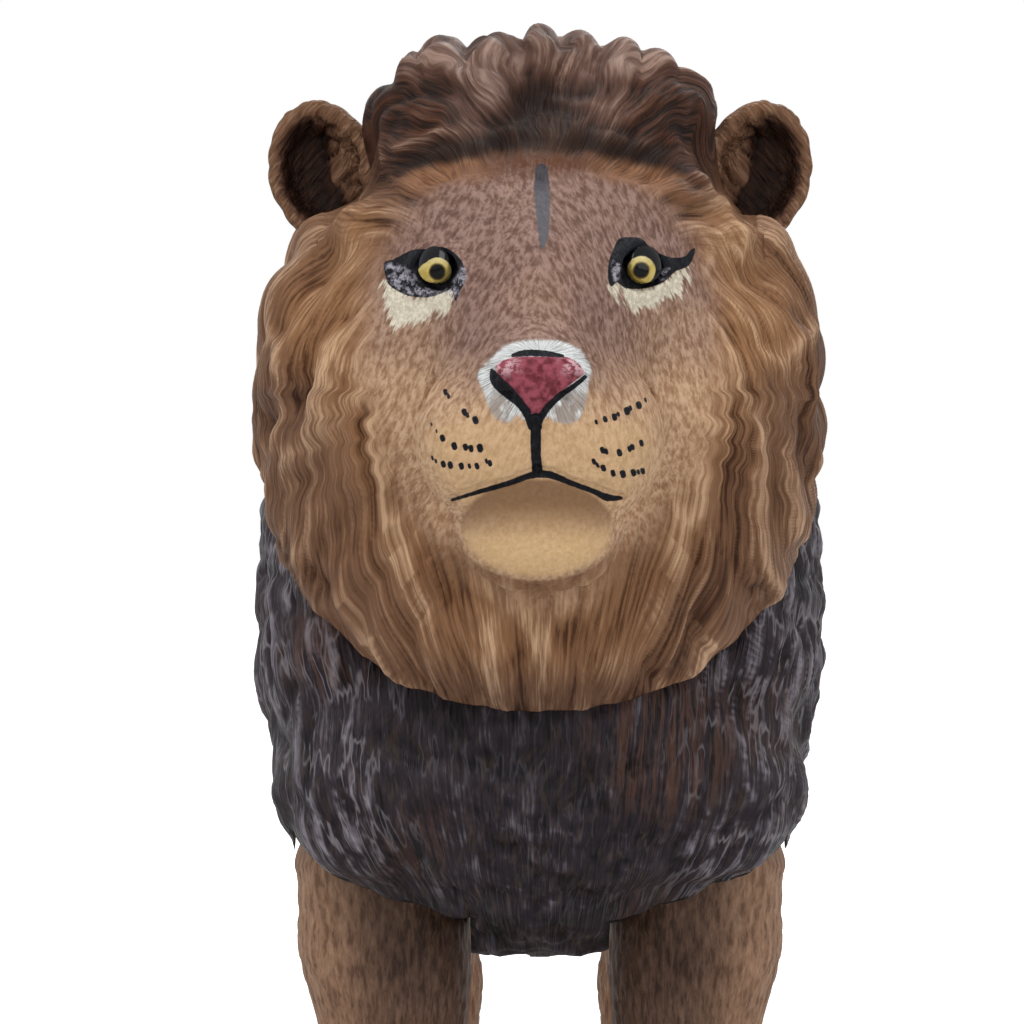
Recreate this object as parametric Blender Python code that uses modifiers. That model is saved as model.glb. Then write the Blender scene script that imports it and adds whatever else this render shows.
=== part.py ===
"""Toy lion in soft vinyl: hollow mouldings that turn on snap-in plugs.

The lion faces -Y, its own left side is +X, and its four paws stand on Z = 0. The head with its brown mane
turns on the slanted neck face, each leg swings on its own plug, and the tail turns in the rump. Every
moulding is a loft whose sections are found by looking in from outside at a blend of simple round forms, with
the main locks of the mane laid over it.
"""

import math

import bmesh
import bpy
import numpy as np
from mathutils import Matrix, Vector

# Walls, clearances and the softness of the blended forms
WALL = 0.0025
FACE_GAP = 0.0003
SWING_GAP = 0.0006
SOFTNESS = 0.0020
OVERRUN = 0.0300
MERGE = 0.00001

# Stance: the axles of the legs, and the gap between left and right legs
WHEELBASE = 0.1480
AXLE_HEIGHT = 0.1050
LEG_SEAT = 0.0100

# Torso, and the rim that the head's mane is set in from it
TORSO_HALF_WIDTH = 0.0410
TORSO_HALF_HEIGHT = 0.0450
RIM_STEP = 0.0010
SKIRT_WALL = 0.0057

# Head and its mane, placed from the middle of the neck face
NECK_FORWARD = 0.0100
NECK_RISE = 0.0280
HEAD_FORWARD = 0.0220
HEAD_LIFT = 0.0070
HEAD_REACH = 0.0480
HEAD_RISE = 0.0520
EAR_HALF_WIDTH = 0.0079
EAR_HALF_HEIGHT = 0.0110
EAR_HALF_DEPTH = 0.0046
EYE_RADIUS = 0.0027
EYE_PROUD = 0.0011
EYE_SEAT = 0.0013

# Main locks of the mane: how high they stand, and the length of a lock on the torso
HEAD_LOCK_DEPTH = 0.0014
TORSO_LOCK_DEPTH = 0.0013
TORSO_LOCK_LENGTH = 0.0095
MANE_EDGE = 0.0030

# Legs
SHOULDER_RADIUS = 0.0185
HIP_RADIUS = 0.0240
PAW_HALF_LENGTH = 0.0180

# Tail
TAIL_ROOT_RADIUS = 0.0058
TUFT_RADIUS = 0.0070
TAIL_REACH = 0.0285
TAIL_DROP = 0.0950

# Snap-in plugs: the radius of the neck and of the two flanges, and the thickness of a flange
NECK_PLUG_RADIUS = 0.0070
NECK_FLANGE_RADIUS = 0.0105
LEG_PLUG_RADIUS = 0.0032
LEG_FLANGE_RADIUS = 0.0055
TAIL_PLUG_RADIUS = 0.0016
TAIL_FLANGE_RADIUS = 0.0030
FLANGE_THICKNESS = 0.0016
FLANGE_CHAMFER = 0.0004

# Angles in degrees
NECK_SLOPE_DEG = 43.0
TAIL_SLOPE_DEG = 27.0
LEG_SWING_DEG = 15.0

# Where the shoulders stand along the wheelbase, counted from the middle of the figure
SHOULDER_SHARE = 0.4595

SHOULDER_Y = -WHEELBASE * SHOULDER_SHARE
HIP_Y = SHOULDER_Y + WHEELBASE
LEG_HALF_WIDTH = (TORSO_HALF_WIDTH - SKIRT_WALL - SWING_GAP - LEG_SEAT - FACE_GAP) / 2.0
LEG_CENTRE = LEG_SEAT + FACE_GAP + LEG_HALF_WIDTH
HEAD_HALF_WIDTH = TORSO_HALF_WIDTH - RIM_STEP

NECK_CENTRE = np.array((0.0, SHOULDER_Y - NECK_FORWARD, AXLE_HEIGHT + NECK_RISE))
NECK_AXIS = np.array((0.0, -math.cos(math.radians(NECK_SLOPE_DEG)), math.sin(math.radians(NECK_SLOPE_DEG))))
NECK_UP = np.array((0.0, math.sin(math.radians(NECK_SLOPE_DEG)), math.cos(math.radians(NECK_SLOPE_DEG))))
HEAD_CENTRE = NECK_CENTRE + np.array((0.0, -HEAD_FORWARD, HEAD_LIFT))
HEAD_UNIT = np.array((HEAD_HALF_WIDTH, HEAD_REACH, HEAD_RISE))

TORSO_CENTRE = np.array((0.0, SHOULDER_Y, AXLE_HEIGHT))
TORSO_UNIT = np.array((TORSO_HALF_WIDTH, WHEELBASE, TORSO_HALF_HEIGHT))

# Round forms of the head, as shares of HEAD_UNIT from HEAD_CENTRE: the middle, then the half sizes.
# Minus Y is forward, and a form off the centre line is made on both sides.
HEAD_FORM_SHARES = (
    ((0.00, 0.17, -0.06), (1.00, 0.60, 0.82)),  # mane behind the face
    ((0.00, -0.10, -0.36), (0.76, 0.36, 0.48)),  # beard under the chin
    ((0.00, -0.22, 0.33), (0.68, 0.47, 0.50)),  # skull
    ((0.48, -0.22, 0.04), (0.38, 0.34, 0.36)),  # cheek
    ((0.00, -0.52, 0.20), (0.34, 0.33, 0.34)),  # bridge of the nose
    ((0.00, -0.62, -0.07), (0.36, 0.32, 0.23)),  # muzzle
    ((0.21, -0.70, -0.10), (0.19, 0.20, 0.17)),  # whisker pad
    ((0.00, -0.86, 0.08), (0.17, 0.14, 0.11)),  # nose
    ((0.00, -0.60, -0.33), (0.28, 0.19, 0.155)),  # chin
    ((0.80, -0.02, 0.12), (0.21, 0.30, 0.33)),  # side lock
    ((0.70, -0.02, -0.17), (0.26, 0.28, 0.33)),  # lower side mane
    ((0.28, 0.00, 0.69), (0.33, 0.30, 0.25)),  # crest, side
    ((0.00, -0.04, 0.74), (0.34, 0.30, 0.23)),  # crest, middle
    ((0.00, 0.42, 0.30), (0.95, 0.50, 0.52)),  # nape
    ((0.545, -0.02, 0.800), (0.075, 0.13, 0.095)),  # tufts along the top of the crest
    ((0.440, -0.05, 0.856), (0.070, 0.12, 0.095)),
    ((0.325, -0.07, 0.888), (0.070, 0.12, 0.095)),
    ((0.155, -0.09, 0.905), (0.080, 0.13, 0.095)),
    ((0.000, -0.11, 0.925), (0.075, 0.12, 0.095)),
    ((0.430, -0.20, 0.740), (0.085, 0.10, 0.100)),  # tufts over the forehead
    ((0.215, -0.25, 0.800), (0.100, 0.09, 0.100)),
    ((0.450, 0.12, 0.820), (0.100, 0.13, 0.090)),  # tufts behind
    ((0.220, 0.12, 0.890), (0.100, 0.13, 0.085)),
)
EAR_PLACE_SHARE = np.array((0.755, 0.06, 0.635))
EYE_PLACE_SHARE = np.array((0.355, 0.00, 0.365))

# Where the face ends and the mane starts, in shares of HEAD_UNIT: the middle of the face, its half width, its
# half height above and below, and how far back it reaches
FACE_MIDDLE_SHARE = 0.149
FACE_WIDTH_SHARE = 0.577
FACE_RISE_SHARE = 0.500
FACE_DROP_SHARE = 0.610
FACE_DEPTH_SHARE = -0.300

# Main locks of the mane: how many stand round it, how they droop and sway, and where they fade out
HEAD_LOCKS = 22
TORSO_LOCKS = 20
LOCK_DROOP_SHARE = 0.50
LOCK_SWAY_SHARE = 0.07
LOCK_FADE_SHARE = 0.35
LOCK_MIDDLE_SHARE = 0.50
CREST_SHARE = 0.60
CREST_FADE_SHARE = 0.14
CREST_CALM_SHARE = 0.60

# Round forms of the torso, as shares of TORSO_UNIT from TORSO_CENTRE
TORSO_MANE_SHARES = (
    ((0.00, 0.020, 0.38), (0.99, 0.260, 1.02)),  # mane round the neck
    ((0.00, 0.120, 0.34), (0.84, 0.340, 0.94)),  # mane over the withers
    ((0.00, -0.080, -0.26), (0.80, 0.182, 0.69)),  # chest and its hanging mane
    ((0.49, -0.135, -0.42), (0.41, 0.105, 0.34)),  # mane hanging before the foreleg
    ((0.70, -0.035, 0.04), (0.30, 0.170, 0.60)),  # mane over the shoulder
)
TORSO_COAT_SHARES = (
    ((0.00, 0.330, 0.27), (0.74, 0.420, 0.80)),  # ribs
    ((0.00, 0.680, 0.31), (0.66, 0.420, 0.68)),  # loin
    ((0.00, 0.990, 0.33), (0.76, 0.290, 0.72)),  # rump
)
TORSO_SPINE_SHARES = ((0.04, 0.16), (1.07, 0.30))

# The round top of a leg: its middle and its half width across, in shares of LEG_HALF_WIDTH
SHOULDER_TOP_SHARES = (-0.52, 1.48)
HIP_TOP_SHARES = (-0.62, 1.60)

# Round forms of a leg. X is in shares of LEG_HALF_WIDTH from the leg's middle plane, Y in shares of the radius
# of its round top from the axle, and Z in shares of AXLE_HEIGHT from the ground.
FORELEG_FORM_SHARES = (
    ((-0.02, 0.02, 0.79), (1.02, 0.70, 0.26)),  # upper leg
    ((-0.04, 0.08, 0.56), (0.96, 0.62, 0.22)),  # forearm
    ((-0.05, 0.10, 0.33), (0.93, 0.60, 0.26)),  # wrist
    ((-0.05, 0.04, 0.13), (0.95, 0.66, 0.18)),  # fetlock
)
HINDLEG_FORM_SHARES = (
    ((-0.20, -0.26, 0.80), (1.16, 0.66, 0.24)),  # stifle
    ((-0.08, -0.24, 0.63), (0.98, 0.50, 0.17)),  # knee
    ((-0.06, 0.06, 0.50), (0.94, 0.46, 0.15)),  # shin
    ((-0.06, 0.34, 0.37), (0.92, 0.43, 0.14)),  # hock
    ((-0.06, 0.24, 0.20), (0.92, 0.40, 0.20)),  # foot
)
# Round forms of a paw, with Y in shares of PAW_HALF_LENGTH from the paw's middle
PAW_FORM_SHARES = (
    ((-0.04, 0.10, 0.055), (1.04, 0.88, 0.095)),  # pad
    ((-0.42, -0.62, 0.050), (0.36, 0.42, 0.068)),  # inner middle toe
    ((0.32, -0.64, 0.050), (0.36, 0.42, 0.068)),  # outer middle toe
    ((-0.86, -0.40, 0.045), (0.26, 0.36, 0.058)),  # inner toe
    ((0.78, -0.42, 0.045), (0.26, 0.36, 0.058)),  # outer toe
)
FOREPAW_PLACE_SHARE = -0.30
HINDPAW_PLACE_SHARE = -0.05

# The middle line of a leg from the ground up: the height in shares of AXLE_HEIGHT, then Y in shares of the radius
FORELEG_SPINE_SHARES = ((0.00, -0.20), (0.10, -0.08), (0.25, 0.06), (0.55, 0.08), (1.00, 0.00))
HINDLEG_SPINE_SHARES = (
    (0.00, -0.04),
    (0.09, 0.02),
    (0.20, 0.24),
    (0.37, 0.34),
    (0.50, 0.06),
    (0.63, -0.22),
    (0.80, -0.18),
    (1.00, 0.00),
)
POCKET_DROP_SHARES = {"foreleg": 0.58, "hindleg": 0.45}

# The tail's thickness along its length: the place along it, then the radius in shares of TAIL_ROOT_RADIUS
TAIL_THICKNESS_SHARES = ((0.0, 1.00), (0.06, 0.98), (0.18, 0.72), (0.45, 0.60), (0.68, 0.58))
TUFT_THICKNESS_SHARES = ((0.74, 0.62), (0.84, 1.00), (0.93, 0.80), (0.985, 0.36))
TAIL_BEND_SHARES = ((0.56, 0.06), (1.18, -0.30), (0.86, -1.00))

# Rings stand closer together under the mane than on the back
BODY_SPACING = 1.3

SAMPLES = 48
HALVINGS = 14


class Finish:
    """A painted surface: its name, colour, roughness and clear coat."""

    def __init__(self, name, colour, roughness, coat=0.0):
        """Keep the values until the material is first needed."""
        self.name = name
        self.colour = colour
        self.roughness = roughness
        self.coat = coat

    def material(self):
        """Return the material, made once."""
        found = bpy.data.materials.get(self.name)
        if found:
            return found
        made = bpy.data.materials.new(self.name)
        made.use_nodes = True
        shader = made.node_tree.nodes["Principled BSDF"]
        shader.inputs["Base Color"].default_value = (*self.colour, 1.0)
        shader.inputs["Roughness"].default_value = self.roughness
        shader.inputs["Metallic"].default_value = 0.0
        shader.inputs["Coat Weight"].default_value = self.coat
        made.diffuse_color = (*self.colour, 1.0)
        return made


MANE_BROWN = Finish("mane_brown", (0.205, 0.105, 0.062), 0.55)
MANE_BLACK = Finish("mane_black", (0.020, 0.017, 0.018), 0.32, 0.3)
COAT_TAN = Finish("coat_tan", (0.310, 0.165, 0.085), 0.55)
EYE_YELLOW = Finish("eye_yellow", (0.520, 0.430, 0.120), 0.12, 1.0)
PLUG_PLASTIC = Finish("plug_plastic", (0.120, 0.110, 0.105), 0.45)


def clear_scene():
    """Remove what the opened file holds, so that the script can run again."""
    for old in list(bpy.data.objects):
        bpy.data.objects.remove(old, do_unlink=True)
    for kept in list(bpy.data.collections):
        bpy.data.collections.remove(kept)


def add_collection(name):
    """Make a collection in the scene."""
    made = bpy.data.collections.new(name)
    bpy.context.scene.collection.children.link(made)
    return made


def ellipsoid(centre, radii):
    """Return the distance field of an ellipsoid."""

    def field(points):
        local = (points - centre) / radii
        near = np.maximum(np.linalg.norm(local, axis=1), MERGE)
        slope = np.maximum(np.linalg.norm(local / radii, axis=1), MERGE)
        return near * (near - 1.0) / slope

    return field


def blend(fields):
    """Join fields into one, rounding the creases where they meet."""

    def field(points):
        values = np.stack([part(points) for part in fields])
        nearest = values.min(axis=0)
        total = np.exp((nearest - values) / SOFTNESS).sum(axis=0)
        return nearest - SOFTNESS * np.log(total)

    return field


def shrunk(field, depth):
    """Return a field whose surface lies the given depth inside the first one's."""

    def inner(points):
        return field(points) + depth

    return inner


def forms_on_both_sides(centre, unit, shares):
    """Turn a table of shares into ellipsoids, each off-centre one with its mirror image."""
    fields = []
    for place, half_sizes in shares:
        for side in (1.0, -1.0) if place[0] else (1.0,):
            turned = np.array((side * place[0], place[1], place[2]))
            fields.append(ellipsoid(centre + turned * unit, np.array(half_sizes) * unit))
    return fields


def surface_points(field, starts, directions, reach):
    """Look in from outside along each ray, and return where it first meets the form."""
    far = np.full(len(starts), reach)
    inside = np.zeros(len(starts))
    found = np.zeros(len(starts), dtype=bool)
    for step in range(SAMPLES, -1, -1):
        along = reach * step / SAMPLES
        hit = (field(starts + directions * along) < 0.0) & ~found
        inside[hit] = along
        found |= hit
        far[~found] = along
    for _ in range(HALVINGS):
        middle = (far + inside) / 2.0
        within = field(starts + directions * middle[:, None]) < 0.0
        inside = np.where(within, middle, inside)
        far = np.where(within, far, middle)
    return starts + directions * inside[:, None]


def ring_rays(centres, tilts, axis, side, count):
    """Return the starts and directions of rays, ring by ring, tilted from square to the axis towards it."""
    axis = np.array(axis)
    side = np.array(side)
    across = np.cross(axis, side)
    starts = []
    directions = []
    for centre, tilt in zip(centres, tilts):
        for step in range(count):
            turn = 2.0 * math.pi * (step + 0.5) / count
            out = math.cos(turn) * side + math.sin(turn) * across
            starts.append(centre)
            directions.append(math.cos(tilt) * out + math.sin(tilt) * axis)
    return np.array(starts), np.array(directions)


def capped_tilts(front, body, back):
    """Tilts for a closed loft: rings that open from the front pole, run along, and close to the back pole."""
    opening = [math.pi / 2.0 * (1.0 - step / front) for step in range(1, front)]
    closing = [-math.pi / 2.0 * step / back for step in range(1, back)]
    return opening + [0.0] * body + closing


def add_object(name, mesh_builder, origin, finish, collection):
    """Make an object from a filled bmesh, with its points counted from its own origin."""
    bmesh.ops.recalc_face_normals(mesh_builder, faces=mesh_builder.faces)
    mesh = bpy.data.meshes.new(name)
    mesh_builder.transform(Matrix.Translation(-Vector(origin)))
    mesh_builder.to_mesh(mesh)
    mesh_builder.free()
    mesh.shade_smooth()
    mesh.set_sharp_from_angle(angle=math.radians(50.0))
    made = bpy.data.objects.new(name, mesh)
    made.location = origin
    collection.objects.link(made)
    if finish:
        mesh.materials.append(finish.material())
    else:
        hide_cutter(made)
    return made


def hide_cutter(cutter):
    """Mark a cutter, so that it is drawn in outline and never rendered."""
    cutter.hide_render = True
    cutter.display_type = "WIRE"


def loft(rings, first_pole=None, last_pole=None):
    """Skin a list of rings; an end without a pole is closed by a flat face."""
    builder = bmesh.new()
    rows = [[builder.verts.new(point) for point in ring] for ring in rings]
    count = len(rows[0])
    for low, high in zip(rows, rows[1:]):
        for step in range(count):
            after = (step + 1) % count
            builder.faces.new((low[step], low[after], high[after], high[step]))
    for row, pole in ((rows[0], first_pole), (rows[-1], last_pole)):
        if pole is None:
            builder.faces.new(row)
            continue
        tip = builder.verts.new(pole)
        for step in range(count):
            builder.faces.new((row[step], row[(step + 1) % count], tip))
    return builder


def moulding_rings(field, centres, tilts, axis, side, count, reach):
    """Find every ring of a moulding, and the two poles on its axis."""
    starts, directions = ring_rays(centres, tilts, axis, side, count)
    points = surface_points(field, starts, directions, reach)
    ends = np.array((centres[0], centres[-1]))
    outward = np.array((axis, -np.array(axis)), dtype=float)
    poles = surface_points(field, ends, outward, reach)
    return points.reshape(len(tilts), count, 3), poles


def cut(target, cutter, operation="DIFFERENCE"):
    """Cut one object by another, or join the other to it.

    The skins are closed and finely faceted. The exact solver drops a cut of theirs at some sizes, and leaves the
    left and the right leg unlike each other, which the manifold solver does not.
    """
    step = target.modifiers.new(cutter.name, "BOOLEAN")
    step.operation = operation
    step.solver = "MANIFOLD"
    step.object = cutter


def half_space(name, centre, axis, offset, collection):
    """Make a block that fills the side of a plane towards the axis, starting the offset along it."""
    size = 2.0 * (WHEELBASE + OVERRUN)
    bpy.ops.mesh.primitive_cube_add(size=size)
    block = bpy.context.active_object
    block.name = name
    block.rotation_mode = "QUATERNION"
    block.rotation_quaternion = Vector((0.0, 0.0, 1.0)).rotation_difference(Vector(axis))
    block.location = Vector(centre) + Vector(axis) * (offset + size / 2.0)
    move_to(block, collection)
    hide_cutter(block)
    return block


def move_to(thing, collection):
    """Take an object out of its collections and put it in one."""
    for old in list(thing.users_collection):
        old.objects.unlink(thing)
    collection.objects.link(thing)


def turned(name, profile, centre, axis, steps, finish, collection):
    """Make a turned piece from a profile that runs down its outer side, and stand it on an axis."""
    builder = bmesh.new()
    row = [builder.verts.new((radius, 0.0, height)) for radius, height in profile]
    for above, below in zip(row, row[1:]):
        builder.edges.new((above, below))
    mesh = bpy.data.meshes.new(name)
    builder.to_mesh(mesh)
    builder.free()
    made = bpy.data.objects.new(name, mesh)
    collection.objects.link(made)
    screw = made.modifiers.new("turn", "SCREW")
    screw.steps = steps
    screw.render_steps = steps
    screw.use_merge_vertices = True
    screw.merge_threshold = MERGE
    made.rotation_mode = "QUATERNION"
    made.rotation_quaternion = Vector((0.0, 0.0, 1.0)).rotation_difference(Vector(axis))
    made.location = centre
    if finish:
        mesh.materials.append(finish.material())
    else:
        hide_cutter(made)
    return made


def plug_profile(neck_radius, flange_radius, room=0.0):
    """Profile of a plug with a flange at each end; with room it is the cutter of the plug's own seat."""
    half_neck = FACE_GAP / 2.0 + WALL + FACE_GAP - room / 2.0
    end = half_neck + FLANGE_THICKNESS + room
    neck = neck_radius + room
    flange = flange_radius + room
    edge = flange - FLANGE_CHAMFER
    return (
        (0.0, end),
        (edge, end),
        (flange, end - FLANGE_CHAMFER),
        (flange, half_neck),
        (neck, half_neck),
        (neck, -half_neck),
        (flange, -half_neck),
        (flange, FLANGE_CHAMFER - end),
        (edge, -end),
        (0.0, -end),
    )


def outline_round(points, grow):
    """Closed convex outline around points in a plane, pushed out by the given amount."""
    count = 28
    turns = [2.0 * math.pi * step / count for step in range(count)]
    normals = np.array([(math.cos(turn), math.sin(turn)) for turn in turns])
    heights = (points @ normals.T).max(axis=0) + grow
    corners = []
    for step in range(count):
        pair = (step, (step + 1) % count)
        corners.append(np.linalg.solve(normals[list(pair)], heights[list(pair)]))
    return np.array(corners)


def swung_outline(points, centre, grow):
    """Outline of everything that the points sweep as they swing about the centre, pushed out."""
    swept = []
    for step in range(-3, 4):
        turn = math.radians(LEG_SWING_DEG) * step / 3.0
        matrix = np.array(((math.cos(turn), -math.sin(turn)), (math.sin(turn), math.cos(turn))))
        swept.append((points - centre) @ matrix.T)
    return outline_round(np.concatenate(swept), grow) + centre


def prism(name, outline, low_x, high_x, collection):
    """Make a block with an outline in the YZ plane, between two values of X."""
    builder = bmesh.new()
    corners = [builder.verts.new((low_x, y, z)) for y, z in outline]
    face = builder.faces.new(corners)
    result = bmesh.ops.extrude_face_region(builder, geom=[face])
    moved = [item for item in result["geom"] if isinstance(item, bmesh.types.BMVert)]
    bmesh.ops.translate(builder, verts=moved, vec=(high_x - low_x, 0.0, 0.0))
    return add_object(name, builder, (0.0, 0.0, 0.0), None, collection)


def line_at(shares, heights):
    """Read a table of (place, value) shares at the given places."""
    table = np.array(shares)
    return np.interp(heights, table[:, 0], table[:, 1])


class Leg:
    """One kind of leg: its round forms, its sections and the outline that it sweeps."""

    def __init__(self, kind, axle_y, radius, top_shares, shares, spine_shares, paw_place_share):
        """Keep the leg's own values and find the sections of the left one."""
        self.kind = kind
        self.axle_y = axle_y
        self.radius = radius
        self.spine_shares = spine_shares
        unit = np.array((LEG_HALF_WIDTH, radius, AXLE_HEIGHT))
        base = np.array((LEG_CENTRE, axle_y, 0.0))
        fields = [ellipsoid(base + np.array(place) * unit, np.array(half) * unit) for place, half in shares]
        top_middle = np.array((LEG_CENTRE + top_shares[0] * LEG_HALF_WIDTH, axle_y, AXLE_HEIGHT))
        fields.append(ellipsoid(top_middle, np.array((top_shares[1] * LEG_HALF_WIDTH, radius, radius))))
        paw_unit = np.array((LEG_HALF_WIDTH, PAW_HALF_LENGTH, AXLE_HEIGHT))
        paw_base = np.array((LEG_CENTRE, axle_y + paw_place_share * radius, 0.0))
        for place, half in PAW_FORM_SHARES:
            fields.append(ellipsoid(paw_base + np.array(place) * paw_unit, np.array(half) * paw_unit))
        self.field = blend(fields)
        self.seat = LEG_SEAT + FACE_GAP
        self.rings, self.pole = self.sections(self.field, self.seat, 0.0, 20, 15, 5)

    def sections(self, field, seat, floor, count, rows, cap_rows):
        """Rings from the ground to the round top, flat against the seat on the inner side."""
        heights = floor + (AXLE_HEIGHT - floor) * np.linspace(0.0, 1.0, rows)
        offsets = line_at(self.spine_shares, heights / AXLE_HEIGHT) * self.radius
        centres = [np.array((LEG_CENTRE, self.axle_y + y, z)) for y, z in zip(offsets, heights)]
        tilts = [0.0] * rows + [math.pi / 2.0 * step / cap_rows for step in range(1, cap_rows)]
        centres += [centres[-1]] * (cap_rows - 1)
        reach = 2.0 * self.radius + PAW_HALF_LENGTH
        rings, poles = moulding_rings(field, centres[::-1], tilts[::-1], (0, 0, 1), (1, 0, 0), count, reach)
        rings[:, :, 0] = np.maximum(rings[:, :, 0], seat)
        return rings, poles[0]

    def swept(self, grow):
        """Outline of the pocket that the swinging leg needs in the torso."""
        points = self.rings.reshape(-1, 3)
        low = AXLE_HEIGHT * (1.0 - POCKET_DROP_SHARES[self.kind])
        upper = points[points[:, 2] >= low][:, 1:]
        return swung_outline(upper, np.array((self.axle_y, AXLE_HEIGHT)), grow)

    def build(self, side_name, side, parts, cutters):
        """Make the moulding of one side, hollow, with its plug and the plug's seat."""
        mirror = np.array((side, 1.0, 1.0))
        axle = (side * self.seat, self.axle_y, AXLE_HEIGHT)
        name = f"{self.kind}_{side_name}"
        leg = add_object(name, loft(self.rings * mirror, first_pole=self.pole * mirror), axle, COAT_TAN, parts)
        core_rings, core_pole = self.sections(shrunk(self.field, WALL), self.seat + WALL, WALL, 12, 9, 3)
        core = add_object(
            f"{name}_core", loft(core_rings * mirror, first_pole=core_pole * mirror), axle, None, cutters
        )
        cut(leg, core)
        middle = (side * (LEG_SEAT + FACE_GAP / 2.0), self.axle_y, AXLE_HEIGHT)
        axis = (side, 0.0, 0.0)
        plain = plug_profile(LEG_PLUG_RADIUS, LEG_FLANGE_RADIUS)
        roomy = plug_profile(LEG_PLUG_RADIUS, LEG_FLANGE_RADIUS, FACE_GAP)
        plug = turned(f"{name}_plug", plain, middle, axis, 16, PLUG_PLASTIC, parts)
        seat = turned(f"{name}_plug_seat", roomy, middle, axis, 16, None, cutters)
        cut(leg, seat)
        return leg, plug, seat


def torso_field():
    """Blend of the torso's round forms."""
    return blend(forms_on_both_sides(TORSO_CENTRE, TORSO_UNIT, TORSO_MANE_SHARES + TORSO_COAT_SHARES))


def combed_torso(field):
    """Lay the mane's main locks over the torso: rows of tufts that hang round the neck, each over a gap."""
    mane = blend(forms_on_both_sides(TORSO_CENTRE, TORSO_UNIT, TORSO_MANE_SHARES))
    coat = blend(forms_on_both_sides(TORSO_CENTRE, TORSO_UNIT, TORSO_COAT_SHARES))

    def combed(points):
        away = points - NECK_CENTRE
        turn = np.arctan2(away[:, 0], away @ NECK_UP)
        row = -(away @ NECK_AXIS) / TORSO_LOCK_LENGTH
        shift = np.floor(row) % 2.0 * math.pi / 2.0
        tuft = np.abs(np.sin(TORSO_LOCKS / 2.0 * turn + shift) * np.sin(math.pi * row))
        cover = np.clip((coat(points) - mane(points)) / MANE_EDGE, 0.0, 1.0)
        return field(points) - TORSO_LOCK_DEPTH * cover * (np.sqrt(tuft) - LOCK_MIDDLE_SHARE)

    return combed


def torso_loft(field, front, body, back, count):
    """Loft of the torso along its spine."""
    ends = [TORSO_CENTRE + np.array((0.0, y, z)) * TORSO_UNIT for y, z in TORSO_SPINE_SHARES]
    tilts = capped_tilts(front, body, back)
    along = [0.0] * (front - 1) + list(np.linspace(0.0, 1.0, body) ** BODY_SPACING) + [1.0] * (back - 1)
    centres = [ends[0] + (ends[1] - ends[0]) * share for share in along]
    reach = 2.0 * (TORSO_HALF_WIDTH + TORSO_HALF_HEIGHT)
    rings, poles = moulding_rings(field, centres, tilts, (0, -1, 0), (1, 0, 0), count, reach)
    return loft(rings, first_pole=poles[0], last_pole=poles[1])


def build_torso(legs, parts, cutters):
    """Make the torso shell with its leg pockets and its slanted neck face."""
    field = torso_field()
    skin = torso_loft(combed_torso(field), 20, 24, 6, 84)
    torso = add_object("torso", skin, TORSO_CENTRE, MANE_BLACK, parts)
    core = add_object(
        "torso_core", torso_loft(shrunk(field, WALL), 6, 17, 4, 16), TORSO_CENTRE, None, cutters
    )
    neck_cut = half_space("neck_face", NECK_CENTRE, NECK_AXIS, -FACE_GAP / 2.0, cutters)
    neck_wall = half_space("neck_wall", NECK_CENTRE, NECK_AXIS, -FACE_GAP / 2.0 - WALL, cutters)
    cut(torso, neck_cut)
    cut(core, neck_wall)
    for leg in legs:
        outer = {
            "foreleg": LEG_CENTRE + LEG_HALF_WIDTH + SWING_GAP,
            "hindleg": TORSO_HALF_WIDTH + OVERRUN,
        }[leg.kind]
        pocket = leg.swept(SWING_GAP)
        wall = leg.swept(SWING_GAP + WALL)
        for side_name, side in (("left", 1.0), ("right", -1.0)):
            name = f"{leg.kind}_{side_name}"
            room = prism(f"{name}_pocket", pocket, side * LEG_SEAT, side * outer, cutters)
            skin = prism(
                f"{name}_pocket_wall", wall, side * (LEG_SEAT - WALL), side * (outer + OVERRUN), cutters
            )
            cut(torso, room)
            cut(core, skin)
    cut(torso, core)
    return torso


def head_field():
    """Blend of the head's round forms."""
    return blend(forms_on_both_sides(HEAD_CENTRE, HEAD_UNIT, HEAD_FORM_SHARES))


def combed_head(field):
    """Lay the mane's main locks over the head: ridges that leave the face and droop towards the rim."""

    def combed(points):
        local = (points - HEAD_CENTRE) / HEAD_UNIT
        across, back, up = local[:, 0], local[:, 1], local[:, 2] - FACE_MIDDLE_SHARE
        ring = np.hypot(across / FACE_WIDTH_SHARE, up / np.where(up > 0.0, FACE_RISE_SHARE, FACE_DROP_SHARE))
        out = np.maximum(ring - 1.0, 0.0) + np.maximum(back - FACE_DEPTH_SHARE, 0.0)
        turn = np.arctan2(across, up)
        sway = turn - LOCK_DROOP_SHARE * np.minimum(out, 1.0) * np.sin(turn)
        sway = sway + LOCK_SWAY_SHARE * np.sin(2.0 * math.pi * out + 3.0 * np.abs(turn))
        ridge = np.abs(np.sin(HEAD_LOCKS / 2.0 * sway))
        crest = np.clip((local[:, 2] - CREST_SHARE) / CREST_FADE_SHARE, 0.0, 1.0)
        cover = np.clip(out / LOCK_FADE_SHARE, 0.0, 1.0) * (1.0 - CREST_CALM_SHARE * crest)
        return field(points) - HEAD_LOCK_DEPTH * cover * (ridge - LOCK_MIDDLE_SHARE)

    return combed


def head_loft(field, front, back, count):
    """Loft of the head, whose rings open from the muzzle."""
    tilts = capped_tilts(front, 1, back)
    centres = [HEAD_CENTRE] * len(tilts)
    reach = 2.0 * (HEAD_REACH + HEAD_RISE) / 2.0
    rings, poles = moulding_rings(field, centres, tilts, (0, -1, 0), (1, 0, 0), count, reach)
    return loft(rings, first_pole=poles[0], last_pole=poles[1])


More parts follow.
